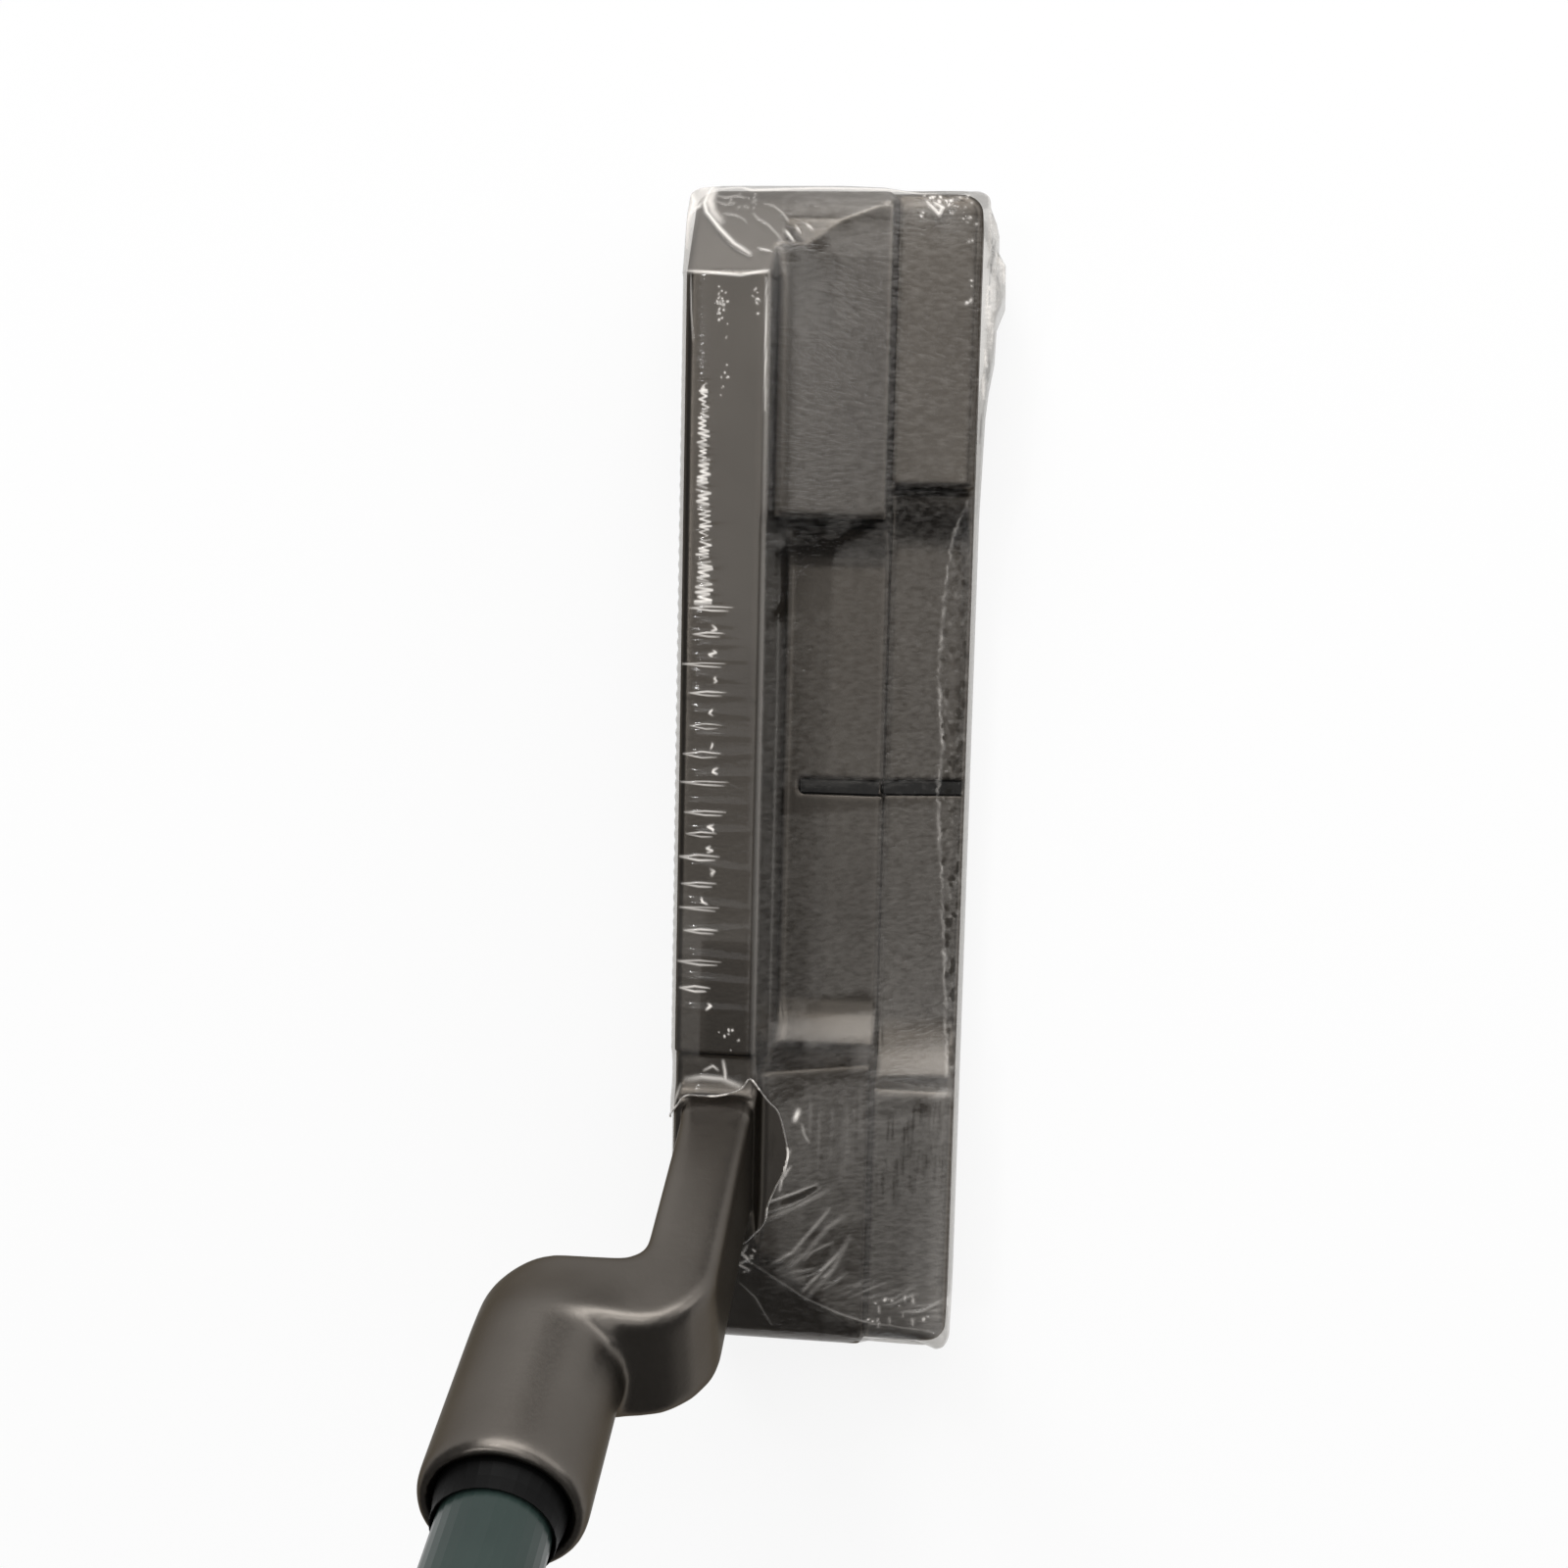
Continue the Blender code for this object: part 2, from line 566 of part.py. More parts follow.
def grip_body():
    rings = []
    body_top = CLUB_LENGTH - GRIP_END_RADIUS
    for share in GRIP_SHARES:
        rings.append(grip_ring(share, GRIP_MOUTH + (body_top - GRIP_MOUTH) * share))
    for angle in ARC_ANGLES[1:]:
        turn = math.radians(angle)
        inset = GRIP_END_RADIUS * (1.0 - math.cos(turn))
        rings.append(grip_ring(1.0, body_top + GRIP_END_RADIUS * math.sin(turn), inset))
    return loft(rings)


def hull_of(points, margin):
    """The tight convex wrap of the points, held off them by a margin."""
    work = bmesh.new()
    for point in points:
        for axis in range(3):
            for side in (-margin, margin):
                moved = point.copy()
                moved[axis] += side
                work.verts.new(moved)
    made = bmesh.ops.convex_hull(work, input=work.verts[:])
    spare = set(made["geom_interior"]) | set(made["geom_unused"])
    bmesh.ops.delete(work, geom=[g for g in spare if isinstance(g, bmesh.types.BMVert)], context='VERTS')
    flat = math.radians(WRAP_FLAT_DEG)
    bmesh.ops.dissolve_limit(work, angle_limit=flat, verts=work.verts[:], edges=work.edges[:])
    bmesh.ops.triangulate(work, faces=work.faces[:])
    bmesh.ops.dissolve_degenerate(work, dist=WRAP_SLIVER, edges=work.edges[:])
    return work


def film_opening():
    """The hole that the neck passes through, along the shaft axis."""
    face = -FACE_REACH - OPENING_FACE - AXIS_Y
    rear = POST_REAR_Y + OPENING_REAR - AXIS_Y
    low, high = (-NECK_HALF - OPENING_TOE, face), (NECK_HALF + OPENING_HEEL, rear)
    levels = (POST_BASE - OPENING_DEPTH, POST_BASE + POST_HEIGHT / 2)
    return loft([rounded_rectangle(low, high, OPENING_CORNER, level) for level in levels])


def flange_height(y):
    """Height of the flange between the weights, which falls toward the rear."""
    share = (y - STEP_Y - STEP_DRAFT) / (REAR_REACH - STEP_Y - STEP_DRAFT)
    return SOLE_Z + FLANGE_STEP_HEIGHT + (FLANGE_REAR_HEIGHT - FLANGE_STEP_HEIGHT) * share


def cavity_height(y):
    return SOLE_Z + CAVITY_FLOOR_HEIGHT


def sight_groove(front, rear, height):
    ends = (front, height(front)), (rear, height(rear))
    return slot(*ends, SIGHT_WIDTH / 2, -SIGHT_DEPTH, SIGHT_DEPTH)


def sight_paint(front, rear, height):
    ends = (front, height(front)), (rear, height(rear))
    bottom = PAINT_GAP - SIGHT_DEPTH
    return slot(*ends, SIGHT_WIDTH / 2 - PAINT_GAP, bottom, bottom + SIGHT_PAINT_THICKNESS)


def build_head(axis, metal):
    head = finish_object("putter_head", head_block(), metal)
    combine(head, finish_object("neck_tool", neck_body(), parent=axis), 'UNION')
    bore = loft([circle_ring(BORE_RADIUS, level) for level in (BORE_BOTTOM, MOUTH + RIM_RADIUS)])
    combine(head, finish_object("bore_tool", bore, parent=axis), 'DIFFERENCE')
    return head


def build_sight_line(head, paint):
    cavity_front = BLADE_REAR_Y + SIGHT_WALL_MARGIN
    groove = sight_groove(cavity_front, STEP_Y + STEP_DRAFT, cavity_height)
    combine(head, finish_object("cavity_groove_tool", groove), 'DIFFERENCE')
    groove = sight_groove(STEP_Y - PAINT_GAP, REAR_REACH + SIGHT_DEPTH, flange_height)
    combine(head, finish_object("flange_groove_tool", groove), 'DIFFERENCE')
    fill = sight_paint(cavity_front + PAINT_GAP, STEP_Y - 2 * PAINT_GAP, cavity_height)
    finish_object("sight_line_cavity", fill, paint)
    fill = sight_paint(STEP_Y + PAINT_GAP, REAR_REACH - 2 * PAINT_GAP, flange_height)
    finish_object("sight_line_flange", fill, paint)


def build_film(axis, clear):
    block = head_block()
    points = [vert.co.copy() for vert in block.verts]
    block.free()
    film = finish_object("head_film", hull_of(points, FILM_GAP + FILM_THICKNESS), clear)
    inner = finish_object("film_inside_tool", hull_of(points, FILM_GAP))
    combine(film, inner, 'DIFFERENCE')
    combine(film, finish_object("film_opening_tool", film_opening(), parent=axis), 'DIFFERENCE')


def build_grip(axis, rubber):
    grip = finish_object("grip", grip_body(), rubber, axis)
    bore_top = CLUB_LENGTH - GRIP_CAP_THICKNESS
    bore_levels = (GRIP_MOUTH - GRIP_CAP_THICKNESS, bore_top)
    bore = loft([circle_ring(GRIP_BORE_RADIUS, level) for level in bore_levels])
    combine(grip, finish_object("grip_bore_tool", bore, parent=axis), 'DIFFERENCE')
    vent_levels = (bore_top - GRIP_CAP_THICKNESS, CLUB_LENGTH + GRIP_CAP_THICKNESS)
    vent = loft([circle_ring(GRIP_VENT_DIAMETER / 2, level, VENT_STEPS) for level in vent_levels])
    combine(grip, finish_object("grip_vent_tool", vent, parent=axis), 'DIFFERENCE')


def build_shaft(axis):
    steel = make_material("shaft_paint", (0.045, 0.07, 0.065), 0.35, 0.6)
    finish_object("shaft", revolve(shaft_profile()), steel, axis)
    epoxy = make_material("black_epoxy", (0.004, 0.004, 0.004), 0.25, 0.0)
    finish_object("hosel_bond", revolve(bond_profile()), epoxy, axis)
    tape = [(TAPE_OUTER_RADIUS, GRIP_MOUTH + TAPE_MOUTH_SETBACK), (TAPE_OUTER_RADIUS, SHAFT_TOP),
            (TAPE_INNER_RADIUS, SHAFT_TOP), (TAPE_INNER_RADIUS, GRIP_MOUTH + TAPE_MOUTH_SETBACK)]
    paper = make_material("tape_paper", (0.6, 0.55, 0.42), 0.8, 0.0)
    finish_object("grip_tape", revolve(tape), paper, axis)


def main():
    clear_scene()
    axis = bpy.data.objects.new("shaft_axis", None)
    bpy.context.scene.collection.objects.link(axis)
    axis.location = (AXIS_GROUND_X * MM, AXIS_Y * MM, 0.0)
    axis.rotation_euler = (0.0, LEAN, 0.0)
    head = build_head(axis, make_material("gunmetal", (0.11, 0.10, 0.09), 0.4, 0.9))
    build_sight_line(head, make_material("sight_paint", (0.005, 0.005, 0.005), 0.5, 0.0))
    build_shaft(axis)
    build_grip(axis, make_material("grip_rubber", (0.015, 0.015, 0.016), 0.75, 0.0))
    build_film(axis, make_material("clear_film", (0.9, 0.9, 0.9), 0.1, 0.0, alpha=0.15))


main()
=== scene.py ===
import math

import bmesh
import bpy
import numpy as np
from mathutils import Matrix, Vector
from mathutils.bvhtree import BVHTree


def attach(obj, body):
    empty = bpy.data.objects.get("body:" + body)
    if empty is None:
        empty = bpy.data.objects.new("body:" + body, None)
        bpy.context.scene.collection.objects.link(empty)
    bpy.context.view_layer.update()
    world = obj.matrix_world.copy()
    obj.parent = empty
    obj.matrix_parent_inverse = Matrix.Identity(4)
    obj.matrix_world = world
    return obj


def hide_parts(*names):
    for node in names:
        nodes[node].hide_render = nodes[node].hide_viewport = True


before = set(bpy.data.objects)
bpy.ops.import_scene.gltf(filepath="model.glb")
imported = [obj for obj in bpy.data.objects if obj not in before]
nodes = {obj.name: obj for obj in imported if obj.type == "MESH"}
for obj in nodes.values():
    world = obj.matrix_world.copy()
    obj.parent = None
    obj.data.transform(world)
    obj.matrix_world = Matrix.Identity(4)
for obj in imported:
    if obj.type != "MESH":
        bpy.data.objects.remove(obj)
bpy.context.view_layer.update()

MM = 0.001
SEED = 7

# Camera, in millimetres and unit vectors
CAMERA_PLACE = (-24.16, 15.98, 202.44)
CAMERA_RIGHT = (-0.02241, 0.99347, -0.11189)
CAMERA_DOWN = (0.99214, 0.03588, 0.11984)
CAMERA_LENS = 42.6
CAMERA_NEAR = 1.0
SENSOR_WIDTH = 36.0

# Share of plain white in the floor, the rest of it shows the light and the shadow
BACKGROUND_SHARE = 0.85
# Half side of the floor, in millimetres
FLOOR_REACH = 40000
# Lamps, in metres: name, place, aim, width, height and how bright they look from in front
LAMPS = (
    ("lamp_overhead", (-0.35, 0.15, 1.4), (0, 0, 0), 1.3, 1.3, 1.15),
    ("lamp_toe_low", (-1.2, 0.0, 0.4), (0, 0, 0.02), 1.3, 0.74, 4.4),
    ("lamp_toe_high", (-0.85, 0.0, 1.05), (0, 0, 0.02), 1.0, 0.6, 2.4),
    ("lamp_rear_low", (-0.62, 1.0, 0.38), (0, 0, 0.02), 1.1, 0.7, 2.1),
    ("lamp_rear_high", (0.1, 1.0, 0.85), (0, 0, 0.02), 0.9, 0.5, 0.5),
    ("lamp_toe_spot", (-0.97, -0.33, 0.94), (0.03, 0, 0.03), 0.2, 0.2, 18.0),
    ("lamp_key", (-0.05, -0.45, 1.25), (0, 0, 0), 0.165, 0.07, 40.0),
)
# Strength of the plain white world
WORLD_LEVEL = 0.15
# Dark card beyond the heel, in millimetres: place along X, half width and height, and its shade
CARD_X, CARD_HALF, CARD_HEIGHT = 750, 1200, 1300
CARD_SHADE = 0.1

# Head sizes that the film follows, in millimetres
TOE_X, HEEL_X = -59.75, 58.6
FACE_Y, REAR_Y = -13.9, 13.7
BLADE_TOP, BLADE_REAR_Y = 25.1, -5.8
TOE_FACET_RUN, TOE_FACET_DROP = 9.45, 9.45
HEEL_FACET_RUN, HEEL_FACET_DROP = 18.5, 9.0
LOFT = math.tan(math.radians(3.0))
# End of the cavity along X, and the step along Y between the front and the rear tier
CAVITY_END_X, TIER_Y = 28.0, 5.3

# Look of the head: cell of its even skin in millimetres, share and rounds of its smoothing
SKIN_CELL = 0.22
SMOOTH_SHARE, SMOOTH_ROUNDS = 0.5, 3
# Heights between which the rounding of the neck's edges sets in, and its rounds
NECK_SOFT_FROM, NECK_SOFT_TO, NECK_SOFT_ROUNDS = 26.5, 30.0, 30

# Film, in millimetres: distance from the head's top and height of its underside
FILM_CLEAR = 0.35
FILM_FLOOR = 0.12
FILM_TOE_X, FILM_HEEL_X = TOE_X - 0.4, HEEL_X + 0.08
FILM_FACE_Y, FILM_REAR_Y = FACE_Y - 0.45, REAR_Y + 0.45
# Radius along its upper edges, and of its corners at the toe and the heel seen from above
FILM_CORNER = 0.9
FILM_TOE_ROUND, FILM_HEEL_ROUND = 1.3, 2.2
# How far the film is drawn in at the rear of the toe, and over what length
TOE_DRAW, TOE_DRAW_LENGTH = 0.55, 5.0
# Spacing of the film's stations along X, and of the grid on which it is stretched
FILM_STATION, FILM_GRID = 0.1, 0.4
# Steps of the stretching, gain of each step, and how fast an edge sinks into a hollow
FILM_RELAX_STEPS, EDGE_RELAX_STEPS = 1200, 400
FILM_RELAX_GAIN = 1.8
EDGE_SINK, REAR_EDGE_SINK = 0.02, 0.004
# Rays that find the head's top: distance inside its outline, start above the blade, least height
CAST_INSET, CAST_START, CAST_LEAST = 0.3, 0.9, 3.0
# Points across the film: width of the finer strip along the face, points there and behind it
FRONT_STRIP, FRONT_POINTS, REAR_POINTS = 6.4, 64, 150
# Points up each wall, rise of the walls' foot over the underside, and its distance inside
WALL_POINTS = 10
FOOT_RISE, FOOT_INSET = 0.5, 0.6
# Rounding of the underside toward both ends: length and rise
SOLE_ROUND, SOLE_RISE = 14.0, 0.7
# Rounded ends of the film: share of the outline, and how far it stands out
END_CAPS = ((0.92, 0.08), (0.75, 0.13), (0.45, 0.16), (0.12, 0.16))
# Share of the ends' rounding that lowers the top
END_TUCK = 0.8
# Largest share of light that the film mirrors, seen edge on
EDGE_MIRROR = 0.4
# Front of the blade's top, where the film curves down: start along Y, drop at the face, furthest share
CROWN_START_Y, CROWN_DROP, CROWN_LIMIT = -10.9, 0.32, 1.2
# Waves of the film's front edge: height, pace, middle and half length
FRONT_WAVE = (0.06, 5.0, -8.0, 45.0)
# In front of this line the film at the toe keeps the slope of the facet
TOE_FOLD_Y = -11.0
# Slack at the toe: places along X, and how far the film stands off there
TOE_FRONT_SLACK = ((-60.5, 0.9), (-57.0, 0.8), (-53.5, 0.4), (-50.0, 0.0))
TOE_REAR_SLACK = ((-60.5, 0.1), (-58.3, 0.3), (-56.8, 0.9), (-55.5, 1.2), (-54.3, 1.0), (-52.8, 1.9),
                  (-50.0, 2.0), (-47.9, 1.2), (-44.4, 1.1), (-41.4, 0.6), (-38.8, 0.35), (-28.0, 0.05))

# Opening round the neck, from the face over the top and back to the face
OPENING = ((32.2, -14.6), (30.6, -13.5), (29.4, -12.4), (29.3, -9.5), (28.6, -7.2), (27.6, -6.3),
           (28.6, -5.4), (29.9, -4.5), (31.0, -3.6), (32.5, -3.1), (34.3, -2.7), (35.9, -2.5),
           (37.6, -2.9), (39.0, -3.6), (40.8, -4.3), (42.6, -4.6), (44.0, -5.7), (45.1, -6.7),
           (46.3, -8.8), (46.2, -11.0), (44.5, -13.4), (43.6, -14.6))
OPENING_FACE_DEPTH = 4.0
# Melted bead along the opening: radius, points round it, and points between two of the outline
RIM_RADIUS = 0.1
RIM_SIDES, RIM_STEPS = 10, 6

# Creases in the film: points, width, height and whiteness. Whiteness above zero is partly the milkiness of
# folded film and partly painted glints and highlights; below zero it is painted shade
CREASES_AND_PAINTED_LIGHT = (
    # Folded corner at the front of the toe
    (((-60.0, -13.0), (-58.6, -13.3), (-57.9, -13.4), (-56.9, -13.0), (-54.9, -11.3), (-53.4, -9.8),
      (-52.3, -8.1)), 0.22, 0.4, 0.75),
    (((-59.6, -12.7), (-58.2, -12.9), (-57.0, -12.4), (-55.8, -11.4)), 0.36, 0.1, 0.5),
    (((-57.2, -14.6), (-57.6, -14.0), (-58.0, -13.6)), 0.2, 0.2, 0.5),
    (((-59.6, -15.2), (-58.2, -14.6), (-56.0, -14.9), (-53.0, -14.4)), 0.25, 0.2, 0.5),
    (((-59.9, -13.4), (-60.0, -15.0), (-58.5, -15.8), (-55.0, -15.7)), 0.35, 0.1, 0.55),
    # Loops on the toe's facet
    (((-56.4, -11.5), (-56.8, -11.2), (-56.6, -10.1), (-56.1, -9.2), (-55.7, -8.9)), 0.12, 0.06, 0.15),
    (((-56.8, -8.4), (-56.2, -7.9), (-55.6, -6.9), (-54.4, -5.7), (-53.9, -5.3)), 0.13, 0.08, 0.2),
    (((-57.9, -7.5), (-57.7, -6.6), (-56.9, -5.6), (-56.0, -4.9), (-55.2, -4.7)), 0.12, 0.06, 0.2),
    (((-58.9, -12.6), (-58.6, -11.4), (-58.8, -10.4), (-58.6, -9.4)), 0.13, 0.06, 0.2),
    (((-58.2, -12.4), (-57.8, -11.2), (-58.0, -10.4)), 0.13, 0.06, 0.15),
    (((-54.9, -5.0), (-53.8, -4.1)), 0.15, 0.1, 0.6),
    (((-55.6, -4.2), (-54.6, -3.5)), 0.15, 0.1, 0.5),
    (((-55.8, -3.2), (-55.0, -2.4)), 0.15, 0.1, 0.6),
    (((-52.9, -7.3), (-52.6, -6.1)), 0.12, 0.1, 0.45),
    (((-59.6, -13.0), (-59.9, -10.2), (-59.5, -8.9), (-59.8, -2.8), (-59.7, 3.9), (-59.6, 9.0)),
     0.16, 0.1, 0.5),
    (((-58.6, 8.2), (-57.3, 9.4), (-58.0, 9.7), (-58.5, 8.9)), 0.2, 0.22, 0.85),
    # Edges of the blade's top, drawn as painted highlights
    (((-50.4, -13.7), (-50.2, -11.1), (-50.0, -8.6), (-50.5, -6.1)), 0.17, 0.06, 0.85),
    (((-49.8, -6.2), (-44.3, -6.15), (-37.5, -6.1)), 0.1, 0.03, 0.75),
    (((-49.8, -6.0), (-40.0, -6.0), (-28.0, -6.0)), 0.2, 0.0, 0.15),
    (((-38.0, -6.0), (-10.0, -5.9), (27.0, -5.9)), 0.2, 0.03, 0.13),
    (((-50.1, -13.4), (-47.0, -13.3), (-44.0, -13.1)), 0.08, 0.03, 0.55),
    # Fold at the toe corner of the cavity, with its shadow painted dark
    (((-28.6, 5.3), (-26.8, 2.8), (-24.9, 0.1), (-21.5, -2.6), (-18.7, -4.4), (-17.6, -5.0)),
     0.7, 0.05, -0.06),
    # Painted shade where the film lifts off the sighting line
    (((0.1, 11.7), (0.1, 12.4)), 0.45, 0.0, -0.8),
    # Foot of the blade's rear wall, painted slightly lighter
    (((-26.0, -4.5), (0.0, -4.5), (26.0, -4.5)), 0.1, 0.0, 0.06),
    # Foot of the neck, painted highlights along the film's folds
    (((27.9, -12.6), (27.5, -11.0), (27.6, -9.0), (28.3, -7.2)), 0.28, 0.1, 0.5),
    (((28.5, -13.2), (30.0, -13.7), (32.0, -14.1)), 0.12, 0.05, 0.4),
    (((26.8, -10.8), (26.3, -9.9), (26.7, -9.4)), 0.12, 0.08, 0.6),
    (((25.7, -8.9), (26.8, -8.7), (27.8, -8.6)), 0.14, 0.08, 0.7),
    # Round the opening: pale folds and painted glints, and one crease with painted shade
    (((31.3, -1.6), (32.3, -1.9)), 0.22, 0.1, 0.9),
    (((32.8, -1.2), (33.8, -1.0), (34.8, -0.5)), 0.12, 0.1, 0.25),
    (((35.4, -2.4), (36.6, -2.9), (37.8, -2.7)), 0.2, 0.12, 0.6),
    (((37.0, -2.2), (38.2, -3.0), (39.4, -3.2)), 0.12, 0.1, 0.5),
    (((40.6, -5.2), (40.0, -2.2), (39.3, 0.4)), 0.12, 0.15, 0.3),
    (((41.6, -4.8), (41.2, -2.0), (39.8, 0.7)), 0.14, 0.15, 0.12),
    (((40.7, -2.8), (40.3, -1.0), (39.7, 0.1)), 0.22, 0.0, -0.4),
    (((46.2, -7.2), (47.2, -6.4), (48.0, -7.4), (48.7, -6.3)), 0.12, 0.2, 0.6),
    (((45.4, -6.4), (46.6, -7.0), (47.6, -6.2)), 0.1, 0.2, 0.6),
    # Over the heel
    (((47.1, -6.8), (49.1, -4.4), (51.8, -0.9), (53.9, 2.7), (55.6, 6.3), (56.3, 9.3), (56.5, 12.6)),
     0.12, 0.08, 0.16),
    (((42.3, -4.2), (41.5, -1.8), (40.2, 1.4)), 0.3, 0.12, 0.16),
    (((47.8, -4.0), (46.6, -2.0), (43.1, 0.9), (42.2, 1.6)), 0.2, 0.12, 0.24),
    (((48.6, -2.6), (46.8, -0.6), (44.3, 1.4), (43.2, 3.0)), 0.3, 0.12, 0.16),
    (((51.2, -1.0), (48.9, 1.0), (46.9, 2.9)), 0.2, 0.12, 0.26),
    (((52.0, -0.6), (49.0, 2.0), (45.7, 3.6)), 0.3, 0.1, 0.15),
    (((47.6, -0.8), (46.7, 0.0), (45.9, 2.0)), 0.16, 0.1, 0.2),
    (((50.4, -7.5), (52.3, -5.9), (56.0, -4.3)), 0.1, 0.08, 0.2),
)
# Fine wrinkles that fan out from the crease over the heel: count, reach, first and last foot
HEEL_FAN = 26
HEEL_FAN_REACH = (2.0, 5.0)
HEEL_FAN_FIRST, HEEL_FAN_LAST = (48.5, -5.0), (55.0, 10.0)
# Their direction in degrees, its spread, and how far it turns from the first to the last
HEEL_FAN_TURN, HEEL_FAN_SPREAD, HEEL_FAN_CHANGE = 118.0, 14.0, 18.0
# Line where the film lifts off the flange, and how many crinkles lie between it and the rear edge
LIFT_LINE = ((-31.0, 13.6), (-28.5, 12.6), (-26.0, 11.6), (-20.0, 11.0), (-12.8, 10.7), (-4.6, 11.3),
             (-0.4, 11.0), (5.8, 11.4), (20.6, 12.4), (29.0, 12.9))
LIFT_CRINKLES = 150
# Zigzag of painted glints on the front of the blade's top: start and end along X, place along Y
ZIGZAG = (-40.0, -20.5, -12.0)
# End along X of the painted glint loops that follow it
LOOPS_END = 20.0
# Cross ripples on the blade's top: start and end along X, middle along Y and its shift to the end
RIPPLES_START, RIPPLES_END = -41.0, 21.0
RIPPLES_MIDDLE, RIPPLES_SHIFT = -11.9, 0.9
# Random short lines of painted glints, or of painted shade where the whiteness is below zero: count, low and
# high corner, reach and whiteness
PAINTED_GLINT_AND_SHADE_STREAKS = (
    (40, (31.3, 6.2), (39.0, 13.0), (1.5, 5.0), -0.05),
    (10, (28.4, -1.0), (33.0, 4.6), (4.0, 8.0), 0.05),
    (16, (-59.0, 14.2), (-42.0, 16.0), (1.0, 3.0), 0.7),
    (24, (-59.0, 14.1), (-38.0, 16.0), (1.0, 3.5), -0.5),
    (14, (-59.6, -11.5), (-57.4, -8.0), (0.1, 0.3), 0.2),
    (9, (52.0, 5.6), (55.6, 11.0), (0.3, 0.9), 0.5),
)
# Random painted glints: count, low and high corner
PAINTED_GLINTS = (
    (16, (-48.9, -10.8), (-46.6, -10.1)),
    (8, (-47.6, -10.9), (-45.4, -9.7)),
    (9, (-45.6, -10.3), (-38.5, -9.7)),
    (8, (-49.4, -7.6), (-46.0, -6.8)),
    (20, (-59.3, 6.0), (-57.0, 12.6)),
    (10, (-57.0, 11.8), (-46.0, 13.2)),
    (8, (52.0, 5.4), (56.2, 12.2)),
    (7, (21.6, -9.9), (24.6, -7.4)),
    (8, (45.6, -7.0), (49.4, -5.6)),
)
# How strongly the film shows the grain of the metal under it
GRAIN_REAR, GRAIN_WEIGHT, GRAIN_CAVITY, GRAIN_BLADE = 0.75, 0.5, 0.34, 0.1
# Painted shade line along the film's outline: width, whiteness, which is below zero for this shade, and
# distance inside it
OUTLINE_WIDTH, OUTLINE_SHADE, OUTLINE_INSET = 0.1, -0.3, 0.1
